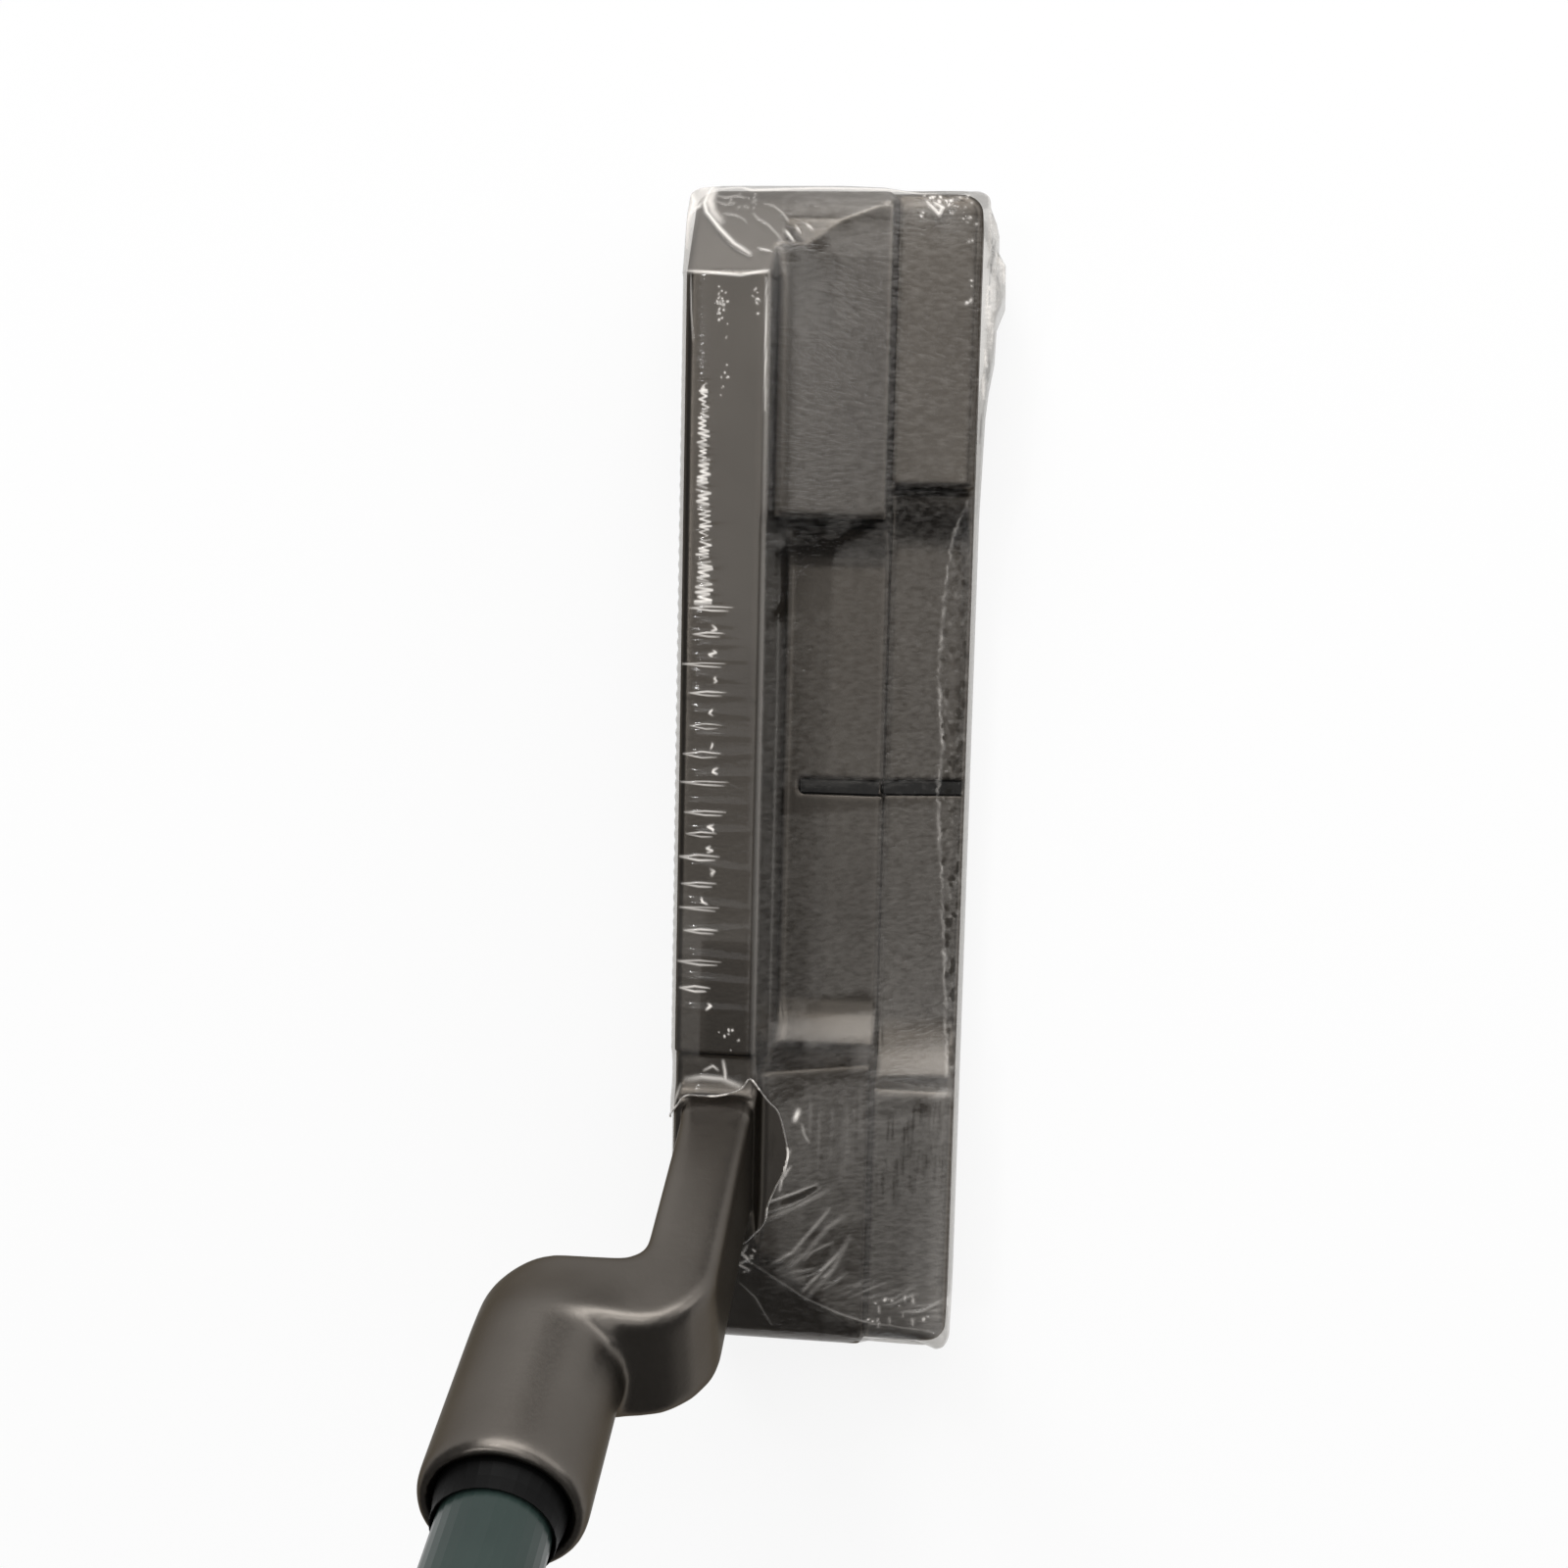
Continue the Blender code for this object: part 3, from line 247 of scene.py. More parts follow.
# Cloudiness of the film, with painted light and painted shade: reach along X and along Y, and amount at
# either end in X, which is above zero where the film is cloudy or painted lighter, and below zero where
# shade is painted
HAZE_AND_PAINTED_LIGHT = (
    # Corners of slack film at the toe
    ((-60.3, -57.8), (-15.6, -12.6), (0.3, 0.3)),
    ((-57.8, -51.0), (-15.6, -14.1), (0.25, 0.1)),
    ((-59.6, -40.0), (14.2, 17.0), (0.25, 0.2)),
    # Facet and weight at the toe, with two patches of painted shade
    ((-60.2, -50.4), (-14.0, -4.6), (0.065, 0.06)),
    ((-60.2, -56.7), (-4.6, 5.3), (0.1, 0.08)),
    ((-56.1, -55.4), (-4.6, -1.0), (-0.26, -0.26)),
    ((-55.5, -54.0), (-4.6, -2.2), (-0.22, -0.18)),
    ((-56.2, -53.0), (1.4, 5.3), (0.1, 0.1)),
    ((-55.4, -53.0), (-1.0, 1.4), (0.09, 0.1)),
    ((-53.0, -46.0), (-3.6, 5.3), (0.02, 0.045)),
    ((-53.0, -46.0), (0.0, 5.3), (0.04, 0.01)),
    ((-46.0, -28.5), (-3.6, 5.3), (0.05, 0.06)),
    ((-60.0, -46.0), (5.5, 13.5), (0.03, 0.0)),
    # Top of the blade, darkened with painted shade
    ((-50.2, -10.0), (-13.2, -6.6), (-0.15, -0.2)),
    ((-10.0, 14.0), (-13.2, -6.6), (-0.2, 0.02)),
    ((8.0, 26.0), (-13.4, -10.9), (0.03, 0.03)),
    ((14.0, 25.0), (-10.9, -6.6), (-0.1, -0.15)),
    # Painted shade behind the blade's rear edge, painted highlight along it, and painted light on the step
    # between the tiers
    ((-50.0, -28.5), (-4.9, -4.2), (-0.12, -0.12)),
    ((-50.0, -28.5), (-6.3, -5.4), (0.05, 0.05)),
    ((-59.0, 57.0), (5.15, 5.75), (0.03, 0.03)),
    # Cavity, flange and sighting line
    ((-26.0, 28.0), (-5.8, -3.9), (0.035, 0.035)),
    ((-20.0, 27.0), (-3.9, -1.0), (0.0, 0.018)),
    ((-20.0, 27.0), (-1.0, 5.3), (0.0, 0.045)),
    ((-26.0, -2.0), (5.6, 13.6), (0.02, 0.025)),
    ((-2.0, 24.0), (5.6, 13.6), (0.025, 0.065)),
    ((-1.1, 1.1), (-3.8, 13.6), (-0.05, -0.05)),
    # Ramps at the toe, with painted light and painted shade
    ((-28.4, -23.2), (0.0, 5.3), (0.02, 0.05)),
    ((-24.6, -18.0), (-4.6, 0.0), (-0.1, 0.0)),
    ((-31.5, -25.0), (5.6, 13.5), (0.0, 0.015)),
    # Ramps at the heel: painted highlights on their bright bands and patches of painted shade
    ((21.0, 22.3), (-4.2, -1.0), (0.0, 0.04)),
    ((22.3, 24.1), (-4.2, -1.0), (0.11, 0.13)),
    ((19.6, 21.8), (-1.0, 5.2), (0.0, -0.12)),
    ((22.6, 24.8), (-1.0, 5.2), (0.06, 0.11)),
    ((25.4, 28.2), (3.6, 5.2), (0.05, 0.07)),
    ((26.0, 28.8), (5.6, 13.4), (0.03, 0.09)),
    ((28.8, 30.2), (5.6, 13.4), (0.06, 0.03)),
    ((30.2, 31.6), (5.6, 13.4), (0.08, 0.08)),
    # Weight at the heel, painted lighter
    ((31.6, 34.0), (5.6, 10.0), (0.03, 0.03)),
    ((31.0, 36.0), (11.4, 13.6), (0.09, 0.05)),
    ((33.2, 57.0), (5.6, 9.6), (0.055, 0.06)),
    ((33.2, 57.0), (9.6, 13.5), (0.06, 0.1)),
    ((29.0, 44.0), (-1.0, 5.3), (0.045, 0.045)),
    ((30.0, 51.0), (-3.6, -0.8), (0.045, 0.055)),
    ((36.0, 55.0), (11.8, 13.5), (0.04, 0.04)),
    ((42.0, 55.0), (1.0, 5.3), (0.01, 0.035)),
)
# Half width of a patch's soft edge
PATCH_SOFT_EDGE = 0.5
# Light and dark of the metal's grain through the film
GRAIN_CONTRAST = 0.3

rng = np.random.default_rng(SEED)


def new_material(name):
    """An empty material and its node tree."""
    material = bpy.data.materials.new(name)
    material.use_nodes = True
    material.node_tree.nodes.clear()
    return material, material.node_tree


def add(tree, kind, inputs=None, **settings):
    """A node of this kind with its settings, its plain input values and its links."""
    node = tree.nodes.new(kind)
    for key, value in settings.items():
        setattr(node, key, value)
    for key, value in (inputs or {}).items():
        if isinstance(value, bpy.types.NodeSocket):
            tree.links.new(value, node.inputs[key])
        else:
            node.inputs[key].default_value = value
    return node


def finish_material(tree, shader):
    add(tree, "ShaderNodeOutputMaterial", {"Surface": shader.outputs[0]})


def colour_ramp(tree, factor, *stops):
    """A colour that follows the factor between the stops."""
    ramp = add(tree, "ShaderNodeValToRGB", {"Fac": factor})
    elements = ramp.color_ramp.elements
    while len(elements) < len(stops):
        elements.new(0.5)
    for element, (place, colour) in zip(elements, stops):
        element.position = place
        element.color = (*colour, 1.0)
    return ramp.outputs["Color"]


def place_texture(tree, scale=(1, 1, 1)):
    """Texture coordinates in the object's own metres, scaled."""
    coordinates = add(tree, "ShaderNodeTexCoord").outputs["Object"]
    return add(tree, "ShaderNodeMapping", {"Vector": coordinates, "Scale": scale}).outputs[0]


def metal_material():
    """Dark warm grey steel, fine blasted grain."""
    material, tree = new_material("gunmetal_blasted")
    place = place_texture(tree)
    cloud = add(tree, "ShaderNodeTexNoise", {"Vector": place, "Scale": 90.0, "Detail": 3.0})
    grain = add(tree, "ShaderNodeTexNoise", {"Vector": place, "Scale": 2600.0, "Detail": 2.0})
    strokes = add(tree, "ShaderNodeTexNoise",
                  {"Vector": place_texture(tree, (1.0, 0.35, 0.6)), "Scale": 2400.0, "Detail": 2.0})
    relief = add(tree, "ShaderNodeMath",
                 {0: strokes.outputs["Fac"], 1: grain.outputs["Fac"]}, operation='ADD').outputs[0]
    colour = colour_ramp(tree, cloud.outputs["Fac"],
                         (0.3, (0.110, 0.099, 0.088)), (0.7, (0.134, 0.122, 0.109)))
    rough = add(tree, "ShaderNodeMapRange",
                {"Value": grain.outputs["Fac"], "To Min": 0.28, "To Max": 0.4}).outputs[0]
    bump = add(tree, "ShaderNodeBump",
               {"Height": relief, "Strength": 0.4, "Distance": 0.000018}).outputs[0]
    shader = add(tree, "ShaderNodeBsdfPrincipled",
                 {"Base Color": colour, "Metallic": 1.0, "Roughness": rough,
                  "Specular Tint": (0.4, 0.38, 0.35, 1), "Normal": bump})
    finish_material(tree, shader)
    return material


def paint_material():
    """Matt black fill of the sighting line."""
    material, tree = new_material("sight_paint_black")
    place = place_texture(tree)
    grain = add(tree, "ShaderNodeTexNoise", {"Vector": place, "Scale": 2200.0, "Detail": 2.0})
    colour = colour_ramp(tree, grain.outputs["Fac"],
                         (0.35, (0.008, 0.008, 0.008)), (0.7, (0.016, 0.015, 0.014)))
    bump = add(tree, "ShaderNodeBump",
               {"Height": grain.outputs["Fac"], "Strength": 0.3, "Distance": 0.00003}).outputs[0]
    shader = add(tree, "ShaderNodeBsdfPrincipled", {"Base Color": colour, "Roughness": 0.5, "Normal": bump})
    finish_material(tree, shader)
    return material


def shaft_material():
    """Satin dark green-grey paint on steel."""
    material, tree = new_material("shaft_paint_satin")
    place = place_texture(tree)
    cloud = add(tree, "ShaderNodeTexNoise", {"Vector": place, "Scale": 160.0, "Detail": 3.0})
    grain = add(tree, "ShaderNodeTexNoise", {"Vector": place, "Scale": 3000.0})
    colour = colour_ramp(tree, cloud.outputs["Fac"],
                         (0.3, (0.015, 0.026, 0.023)), (0.7, (0.019, 0.032, 0.028)))
    rough = add(tree, "ShaderNodeMapRange",
                {"Value": cloud.outputs["Fac"], "To Min": 0.26, "To Max": 0.36}).outputs[0]
    bump = add(tree, "ShaderNodeBump",
               {"Height": grain.outputs["Fac"], "Strength": 0.05, "Distance": 0.00002}).outputs[0]
    shader = add(tree, "ShaderNodeBsdfPrincipled",
                 {"Base Color": colour, "Roughness": rough, "Specular IOR Level": 0.3, "Normal": bump})
    finish_material(tree, shader)
    return material


def epoxy_material():
    """Cured black glue, slightly uneven."""
    material, tree = new_material("epoxy_black")
    place = place_texture(tree)
    cloud = add(tree, "ShaderNodeTexNoise", {"Vector": place, "Scale": 700.0, "Detail": 2.0})
    rough = add(tree, "ShaderNodeMapRange",
                {"Value": cloud.outputs["Fac"], "To Min": 0.4, "To Max": 0.6}).outputs[0]
    bump = add(tree, "ShaderNodeBump",
               {"Height": cloud.outputs["Fac"], "Strength": 0.2, "Distance": 0.00005}).outputs[0]
    shader = add(tree, "ShaderNodeBsdfPrincipled",
                 {"Base Color": (0.003, 0.003, 0.003, 1), "Roughness": rough, "Specular IOR Level": 0.08,
                  "Normal": bump})
    finish_material(tree, shader)
    return material


def rubber_material():
    """Matt black rubber with small pits."""
    material, tree = new_material("grip_rubber_black")
    place = place_texture(tree)
    cells = add(tree, "ShaderNodeTexVoronoi", {"Vector": place, "Scale": 650.0})
    cloud = add(tree, "ShaderNodeTexNoise", {"Vector": place, "Scale": 60.0, "Detail": 3.0})
    colour = colour_ramp(tree, cloud.outputs["Fac"],
                         (0.3, (0.012, 0.012, 0.012)), (0.7, (0.022, 0.021, 0.021)))
    bump = add(tree, "ShaderNodeBump",
               {"Height": cells.outputs["Distance"], "Strength": 0.4, "Distance": 0.0003}).outputs[0]
    shader = add(tree, "ShaderNodeBsdfPrincipled", {"Base Color": colour, "Roughness": 0.68, "Normal": bump})
    finish_material(tree, shader)
    return material


def tape_material():
    """Pale crinkled paper."""
    material, tree = new_material("tape_crepe")
    place = place_texture(tree)
    cloud = add(tree, "ShaderNodeTexNoise", {"Vector": place, "Scale": 1100.0, "Detail": 3.0})
    colour = colour_ramp(tree, cloud.outputs["Fac"], (0.3, (0.52, 0.47, 0.34)), (0.7, (0.64, 0.58, 0.44)))
    bump = add(tree, "ShaderNodeBump",
               {"Height": cloud.outputs["Fac"], "Strength": 0.4, "Distance": 0.0001}).outputs[0]
    shader = add(tree, "ShaderNodeBsdfPrincipled", {"Base Color": colour, "Roughness": 0.8, "Normal": bump})
    finish_material(tree, shader)
    return material


def film_material(name, ior, veil):
    """Clear film: it lets light through, mirrors the surroundings and is whitish on its creases; its
    whiteness also carries painted glints, painted light and, below zero, painted shade.
    """
    material, tree = new_material(name)
    white = add(tree, "ShaderNodeAttribute", attribute_name="whiteness").outputs["Fac"]
    place = place_texture(tree, (3.0, 1.0, 1.0))
    ripple = add(tree, "ShaderNodeTexNoise", {"Vector": place, "Scale": 900.0, "Detail": 3.0})
    grain = add(tree, "ShaderNodeAttribute", attribute_name="grain").outputs["Fac"]
    centred = add(tree, "ShaderNodeMath", {0: ripple.outputs["Fac"], 1: 0.5},
                  operation='SUBTRACT').outputs[0]
    relief = add(tree, "ShaderNodeMath", {0: centred, 1: grain}, operation='MULTIPLY').outputs[0]
    bump = add(tree, "ShaderNodeBump", {"Height": relief, "Strength": 1.0, "Distance": 0.00016}).outputs[0]
    white = add(tree, "ShaderNodeMath", {0: relief, 1: GRAIN_CONTRAST, 2: white},
                operation='MULTIPLY_ADD').outputs[0]
    rough = add(tree, "ShaderNodeMapRange",
                {"Value": ripple.outputs["Fac"], "To Min": 0.05, "To Max": 0.14}).outputs[0]
    gloss = add(tree, "ShaderNodeBsdfGlossy", {"Roughness": rough, "Normal": bump})
    # Pale diffuse for the film's milkiness, which also paints glints and light where the whiteness is high
    milk_and_painted_light = add(tree, "ShaderNodeBsdfDiffuse", {"Color": (0.85, 0.805, 0.755, 1), "Normal": bump})
    clear = add(tree, "ShaderNodeBsdfTransparent", {"Color": (0.88, 0.87, 0.855, 1)})
    cover = add(tree, "ShaderNodeMath", {0: white, 1: veil}, operation='ADD', use_clamp=True).outputs[0]
    body = add(tree, "ShaderNodeMixShader", {"Fac": cover, 1: clear.outputs[0], 2: milk_and_painted_light.outputs[0]})
    # Near-black diffuse mixed in where the whiteness is below zero: painted shade
    dark = add(tree, "ShaderNodeBsdfDiffuse", {"Color": (0.012, 0.011, 0.009, 1)})
    painted_shade_share = add(tree, "ShaderNodeMath", {0: white, 1: -1.0}, operation='MULTIPLY', use_clamp=True).outputs[0]
    body = add(tree, "ShaderNodeMixShader", {"Fac": painted_shade_share, 1: body.outputs[0], 2: dark.outputs[0]})
    mirror = add(tree, "ShaderNodeFresnel", {"IOR": ior, "Normal": bump}).outputs[0]
    edge = add(tree, "ShaderNodeMath", {0: mirror, 1: EDGE_MIRROR}, operation='MINIMUM').outputs[0]
    shader = add(tree, "ShaderNodeMixShader", {"Fac": edge, 1: body.outputs[0], 2: gloss.outputs[0]})
    finish_material(tree, shader)
    return material


def floor_material():
    """White floor: mostly plain white where it is seen or mirrored, and the rest lit by the lamps."""
    material, tree = new_material("floor_white")
    place = place_texture(tree)
    cloud = add(tree, "ShaderNodeTexNoise", {"Vector": place, "Scale": 3.0, "Detail": 4.0})
    colour = colour_ramp(tree, cloud.outputs["Fac"], (0.3, (0.90, 0.90, 0.90)), (0.7, (0.92, 0.92, 0.92)))
    lit = add(tree, "ShaderNodeBsdfDiffuse", {"Color": colour})
    white = add(tree, "ShaderNodeEmission", {"Strength": 1.0})
    path = add(tree, "ShaderNodeLightPath").outputs
    seen = add(tree, "ShaderNodeMath", {0: path["Is Camera Ray"], 1: path["Is Glossy Ray"]},
               operation='MAXIMUM')
    seen = add(tree, "ShaderNodeMath", {0: seen.outputs[0], 1: path["Is Transmission Ray"]},
               operation='MAXIMUM')
    share = add(tree, "ShaderNodeMath", {0: seen.outputs[0], 1: BACKGROUND_SHARE}, operation='MULTIPLY')
    shader = add(tree, "ShaderNodeMixShader",
                 {"Fac": share.outputs[0], 1: lit.outputs[0], 2: white.outputs[0]})
    finish_material(tree, shader)
    return material


def link_mesh(name, points, faces, material):
    """A smooth object from points in millimetres."""
    mesh = bpy.data.meshes.new(name)
    mesh.from_pydata([tuple(c * MM for c in p) for p in points], [], faces)
    mesh.materials.append(material)
    mesh.shade_smooth()
    made = bpy.data.objects.new(name, mesh)
    bpy.context.scene.collection.objects.link(made)
    return made


def blade_top(x):
    """Height of the blade's top line and of the facets at its ends."""
    toe = BLADE_TOP - (TOE_FACET_RUN - (x - TOE_X)) * TOE_FACET_DROP / TOE_FACET_RUN
    heel = BLADE_TOP - (HEEL_FACET_RUN - (HEEL_X - x)) * HEEL_FACET_DROP / HEEL_FACET_RUN
    return min(BLADE_TOP, toe, heel)


def head_heights(xs, ys):
    """Height of the head's upper side under each point of the grid, and of the blade's line at the neck."""
    tree = BVHTree.FromObject(nodes["putter_head"], bpy.context.evaluated_depsgraph_get())
    heights = np.zeros((len(xs), len(ys)))
    for i, x in enumerate(xs):
        inside_x = min(max(x, TOE_X + CAST_INSET), HEEL_X - CAST_INSET)
        for j, y in enumerate(ys):
            inside_y = min(max(y, FACE_Y + CAST_INSET), REAR_Y - CAST_INSET)
            start = Vector((inside_x * MM, inside_y * MM, (BLADE_TOP + CAST_START) * MM))
            hit = tree.ray_cast(start, Vector((0, 0, -1)))[0]
            z = hit.z / MM if hit else 0.0
            heights[i, j] = z if z > CAST_LEAST else blade_top(inside_x)
    return heights


def edge_line(heights, sink):
    """A string pulled along an edge: it bridges hollows and sinks into wide ones."""
    line = heights.copy()
    for _ in range(EDGE_RELAX_STEPS):
        line[1:-1] += 0.5 * (0.5 * (line[:-2] + line[2:]) - line[1:-1])
        line[1:-1] += sink * (heights[1:-1] - line[1:-1])
        line = np.maximum(line, heights)
    return line


def relaxed_film(heights):
    """A stretched skin that lies on the head and spans its hollows."""
    skin = np.full_like(heights, heights.mean())
    skin[:, 0] = edge_line(heights[:, 0], EDGE_SINK)
    skin[:, -1] = edge_line(heights[:, -1], REAR_EDGE_SINK)
    skin[0, :] = edge_line(heights[0, :], EDGE_SINK)
    skin[-1, :] = edge_line(heights[-1, :], EDGE_SINK)
    rows, columns = np.indices((heights.shape[0] - 2, heights.shape[1] - 2))
    for step in range(2 * FILM_RELAX_STEPS):
        pick = (rows + columns) % 2 == step % 2
        inner = skin[1:-1, 1:-1]
        mean = (skin[:-2, 1:-1] + skin[2:, 1:-1] + skin[1:-1, :-2] + skin[1:-1, 2:]) / 4
        fresh = np.maximum(inner + FILM_RELAX_GAIN * (mean - inner), heights[1:-1, 1:-1])
        inner[pick] = fresh[pick]
    return skin


def sample(values, xs, ys, x, y):
    """The grid's value at x, y, between its points."""
    i = np.clip((x - xs[0]) / FILM_GRID, 0, len(xs) - 1.001)
    j = np.clip((y - ys[0]) / FILM_GRID, 0, len(ys) - 1.001)
    i0, j0 = i.astype(int), j.astype(int)
    u, v = i - i0, j - j0
    return ((values[i0, j0] * (1 - u) + values[i0 + 1, j0] * u) * (1 - v)
            + (values[i0, j0 + 1] * (1 - u) + values[i0 + 1, j0 + 1] * u) * v)


def hump(x, place, half_length):
    """A smooth swell from 0 to 1 and back."""
    share = np.clip(1.0 - np.abs(x - place) / half_length, 0.0, 1.0)
    return share * share * (3.0 - 2.0 * share)


def fall_in(distance, radius):
    """Height lost on a quarter round of this radius, at this distance from its end."""
    left = np.clip(radius - distance, 0.0, radius)
    return radius - np.sqrt(radius ** 2 - left ** 2)


def path_distance(x, y, points):
    """Distance to a path, and how far along it the nearest point is, from 0 to 1."""
    best = np.full(x.shape, 1e9)
    along = np.zeros(x.shape)
    pairs = list(zip(points, points[1:]))
    for k, ((ax, ay), (bx, by)) in enumerate(pairs):
        length = math.hypot(bx - ax, by - ay)
        t = np.clip(((x - ax) * (bx - ax) + (y - ay) * (by - ay)) / length ** 2, 0, 1)
        gap = np.hypot(x - ax - t * (bx - ax), y - ay - t * (by - ay))
        nearer = gap < best
        best = np.where(nearer, gap, best)
        along = np.where(nearer, (k + t) / len(pairs), along)
    return best, along


def heel_wrinkles():
    """Short creases that fan out from the fold over the heel."""
    made = []
    for k in range(HEEL_FAN):
        share = (k + rng.uniform(0.0, 0.8)) / HEEL_FAN
        start = [first + (last - first) * share for first, last in zip(HEEL_FAN_FIRST, HEEL_FAN_LAST)]
        reach = rng.uniform(*HEEL_FAN_REACH)
        spread = rng.uniform(-HEEL_FAN_SPREAD, HEEL_FAN_SPREAD)
        turn = math.radians(HEEL_FAN_TURN + spread - HEEL_FAN_CHANGE * share)
        bend = turn + rng.uniform(-0.3, 0.3)
        middle = (start[0] + math.cos(turn) * reach / 2, start[1] + math.sin(turn) * reach / 2)
        end = (middle[0] + math.cos(bend) * reach / 2, middle[1] + math.sin(bend) * reach / 2)
        made.append(((start, middle, end), rng.uniform(0.14, 0.26), rng.uniform(0.06, 0.14),
                     rng.uniform(0.02, 0.1)))
    return made


def blade_painted_glints():
    """Painted glints: a zigzag on the blade's front, and the loops and dabs that follow it toward the heel.
    """
    start, end, middle = ZIGZAG
    made, place, side = [], start, 1
    while place < end:
        points = []
        for _ in range(rng.integers(6, 18)):
            swing = rng.uniform(0.08, 0.5) + 0.35 * (place - start) / (end - start)
            points.append((place, middle + 0.02 * (place - start) + side * swing))
            place += rng.uniform(0.06, 0.34)
            side = -side
        made.append((points, rng.uniform(0.08, 0.17), 0.03, 1.0))
        place += rng.uniform(-0.2, 0.2)
    while place < LOOPS_END:
        front, rear = rng.uniform(-13.7, -12.6), rng.uniform(-10.4, -8.7)
        half = (front + rear) / 2
        swell = rng.uniform(0.12, 0.3)
        width, shine = rng.uniform(0.07, 0.1), rng.uniform(0.7, 0.95)
        made.append((((place, front), (place - swell, half), (place - 0.15, rear)), width, 0.05, shine))
        made.append((((place, front), (place + swell, half), (place + 0.2, rear - 0.4)), width, 0.05, shine))
        place += rng.uniform(1.0, 1.7)
        if rng.uniform() < 0.7:
            dab = rng.uniform(-11.2, -10.2)
            points = [(place + 0.2 * k, dab + rng.uniform(-0.35, 0.35)) for k in range(4)]
            made.append((points, rng.uniform(0.1, 0.17), 0.03, 0.95))
        place += rng.uniform(0.9, 1.8)
    return made


def lift_line_and_painted_crinkle_shade():
    """The uneven line where the film lifts off the flange, drawn pale, and the crinkles behind it, mostly
    painted dark as shade.
    """
    xs, ys = zip(*LIFT_LINE)
    made, place = [], xs[0]
    while place < xs[-1]:
        end = place + rng.uniform(0.5, 1.6)
        steps = np.linspace(place, end, 4)
        points = [(step, np.interp(step, xs, ys) + rng.uniform(-0.14, 0.14)) for step in steps]
        made.append((points, rng.uniform(0.08, 0.16), 0.06, rng.uniform(0.04, 0.34)))
        place = end - 0.2
    for _ in range(LIFT_CRINKLES):
        x = rng.uniform(xs[1], xs[-1])
        y = rng.uniform(np.interp(x, xs, ys) + 0.2, REAR_Y - 0.2)
        end = (x + rng.uniform(-0.8, 0.8), y + rng.uniform(-0.35, 0.35))
        made.append((((x, y), end), rng.uniform(0.1, 0.2), 0.03, rng.choice((-0.5, -0.3, 0.05, 0.1))))
    return made


def outline_painted_shade():
    """Painted shade: a thin dark line along the film's outline, at the toe, its slack and the heel."""
    toe, heel = FILM_TOE_X + OUTLINE_INSET, FILM_HEEL_X - OUTLINE_INSET
    front = [(x, FILM_FACE_Y - slack + OUTLINE_INSET) for x, slack in TOE_FRONT_SLACK[1:]]
    rear = [(x, FILM_REAR_Y + slack - OUTLINE_INSET) for x, slack in TOE_REAR_SLACK[1:]]
    toe_end = [(toe, FACE_Y), (toe, 0.0), (toe + TOE_DRAW, REAR_Y - 0.8)]
    heel_end = [(heel, -5.0), (heel, REAR_Y - 2.0)]
    return [(points, OUTLINE_WIDTH, 0.0, OUTLINE_SHADE) for points in (front, rear, toe_end, heel_end)]


def scattered_painted_glints_and_shade():
    """Painted glints and painted shade at random places: short lines, pale or dark, and bright points."""
    made = []
    for count, low, high, reach, whiteness in PAINTED_GLINT_AND_SHADE_STREAKS:
        for _ in range(count):
            x, y = rng.uniform(low[0], high[0]), rng.uniform(low[1], high[1])
            end = (x + rng.uniform(*reach), y + rng.uniform(-0.2, 0.2))
            made.append((((x, y), end), rng.uniform(0.08, 0.16), 0.02, whiteness * rng.uniform(0.5, 1.2)))
    for count, low, high in PAINTED_GLINTS:
        for _ in range(count):
            x, y = rng.uniform(low[0], high[0]), rng.uniform(low[1], high[1])
            end = (x + rng.uniform(-0.35, 0.35), y + rng.uniform(-0.2, 0.2))
            made.append((((x, y), end), rng.uniform(0.08, 0.15), 0.03, rng.uniform(0.5, 1.0)))
    return made


def crease_and_painted_light_field(x, y):
    """Height of the film's creases, and its whiteness: milky folds, painted glints and highlights, and
    painted shade where it is below zero.
    """
    height, white = np.zeros(x.shape), np.zeros(x.shape)
    marks = [*CREASES_AND_PAINTED_LIGHT, *heel_wrinkles(), *blade_painted_glints(), *lift_line_and_painted_crinkle_shade(), *scattered_painted_glints_and_shade(),
             *outline_painted_shade()]
    for points, width, rise, whiteness in marks:
        reach = 4 * width
        xs, ys = zip(*points)
        near = (x > min(xs) - reach) & (x < max(xs) + reach) & (y > min(ys) - reach) & (y < max(ys) + reach)
        gap, along = path_distance(x[near], y[near], points)
        taper = np.sin(np.pi * (0.06 + 0.88 * along)) ** 0.5
        shape = np.exp(-(gap / width) ** 2) * taper
        height[near] += rise * shape
        fresh = whiteness * shape
        white[near] = np.where(np.abs(fresh) > np.abs(white[near]), fresh, white[near])
    return height, white


def blade_ripples(x, y):
    """Cross ripples on the front half of the blade's top, closer together toward the toe."""
    height = np.zeros(x.shape)
    place = RIPPLES_START
    while place < RIPPLES_END:
        share = (place - RIPPLES_START) / (RIPPLES_END - RIPPLES_START)
        length = rng.uniform(1.2, 1.8) + 2.2 * min(1.0, max(0.0, (share - 0.3) * 3))
        middle = RIPPLES_MIDDLE + RIPPLES_SHIFT * share + rng.uniform(-0.3, 0.3)
        width = 0.2 + 0.22 * share
        rise = (0.05 + 0.12 * share) * rng.uniform(0.6, 1.3)
        bend = place + rng.uniform(-0.1, 0.1) * (y - middle)
        height += rise * np.exp(-((x - bend) / width) ** 2) * np.exp(-((y - middle) / length) ** 2)
        place += (0.55 + 2.6 * min(1.0, max(0.0, (share - 0.3) * 2.5))) * rng.uniform(0.75, 1.25)
    return height


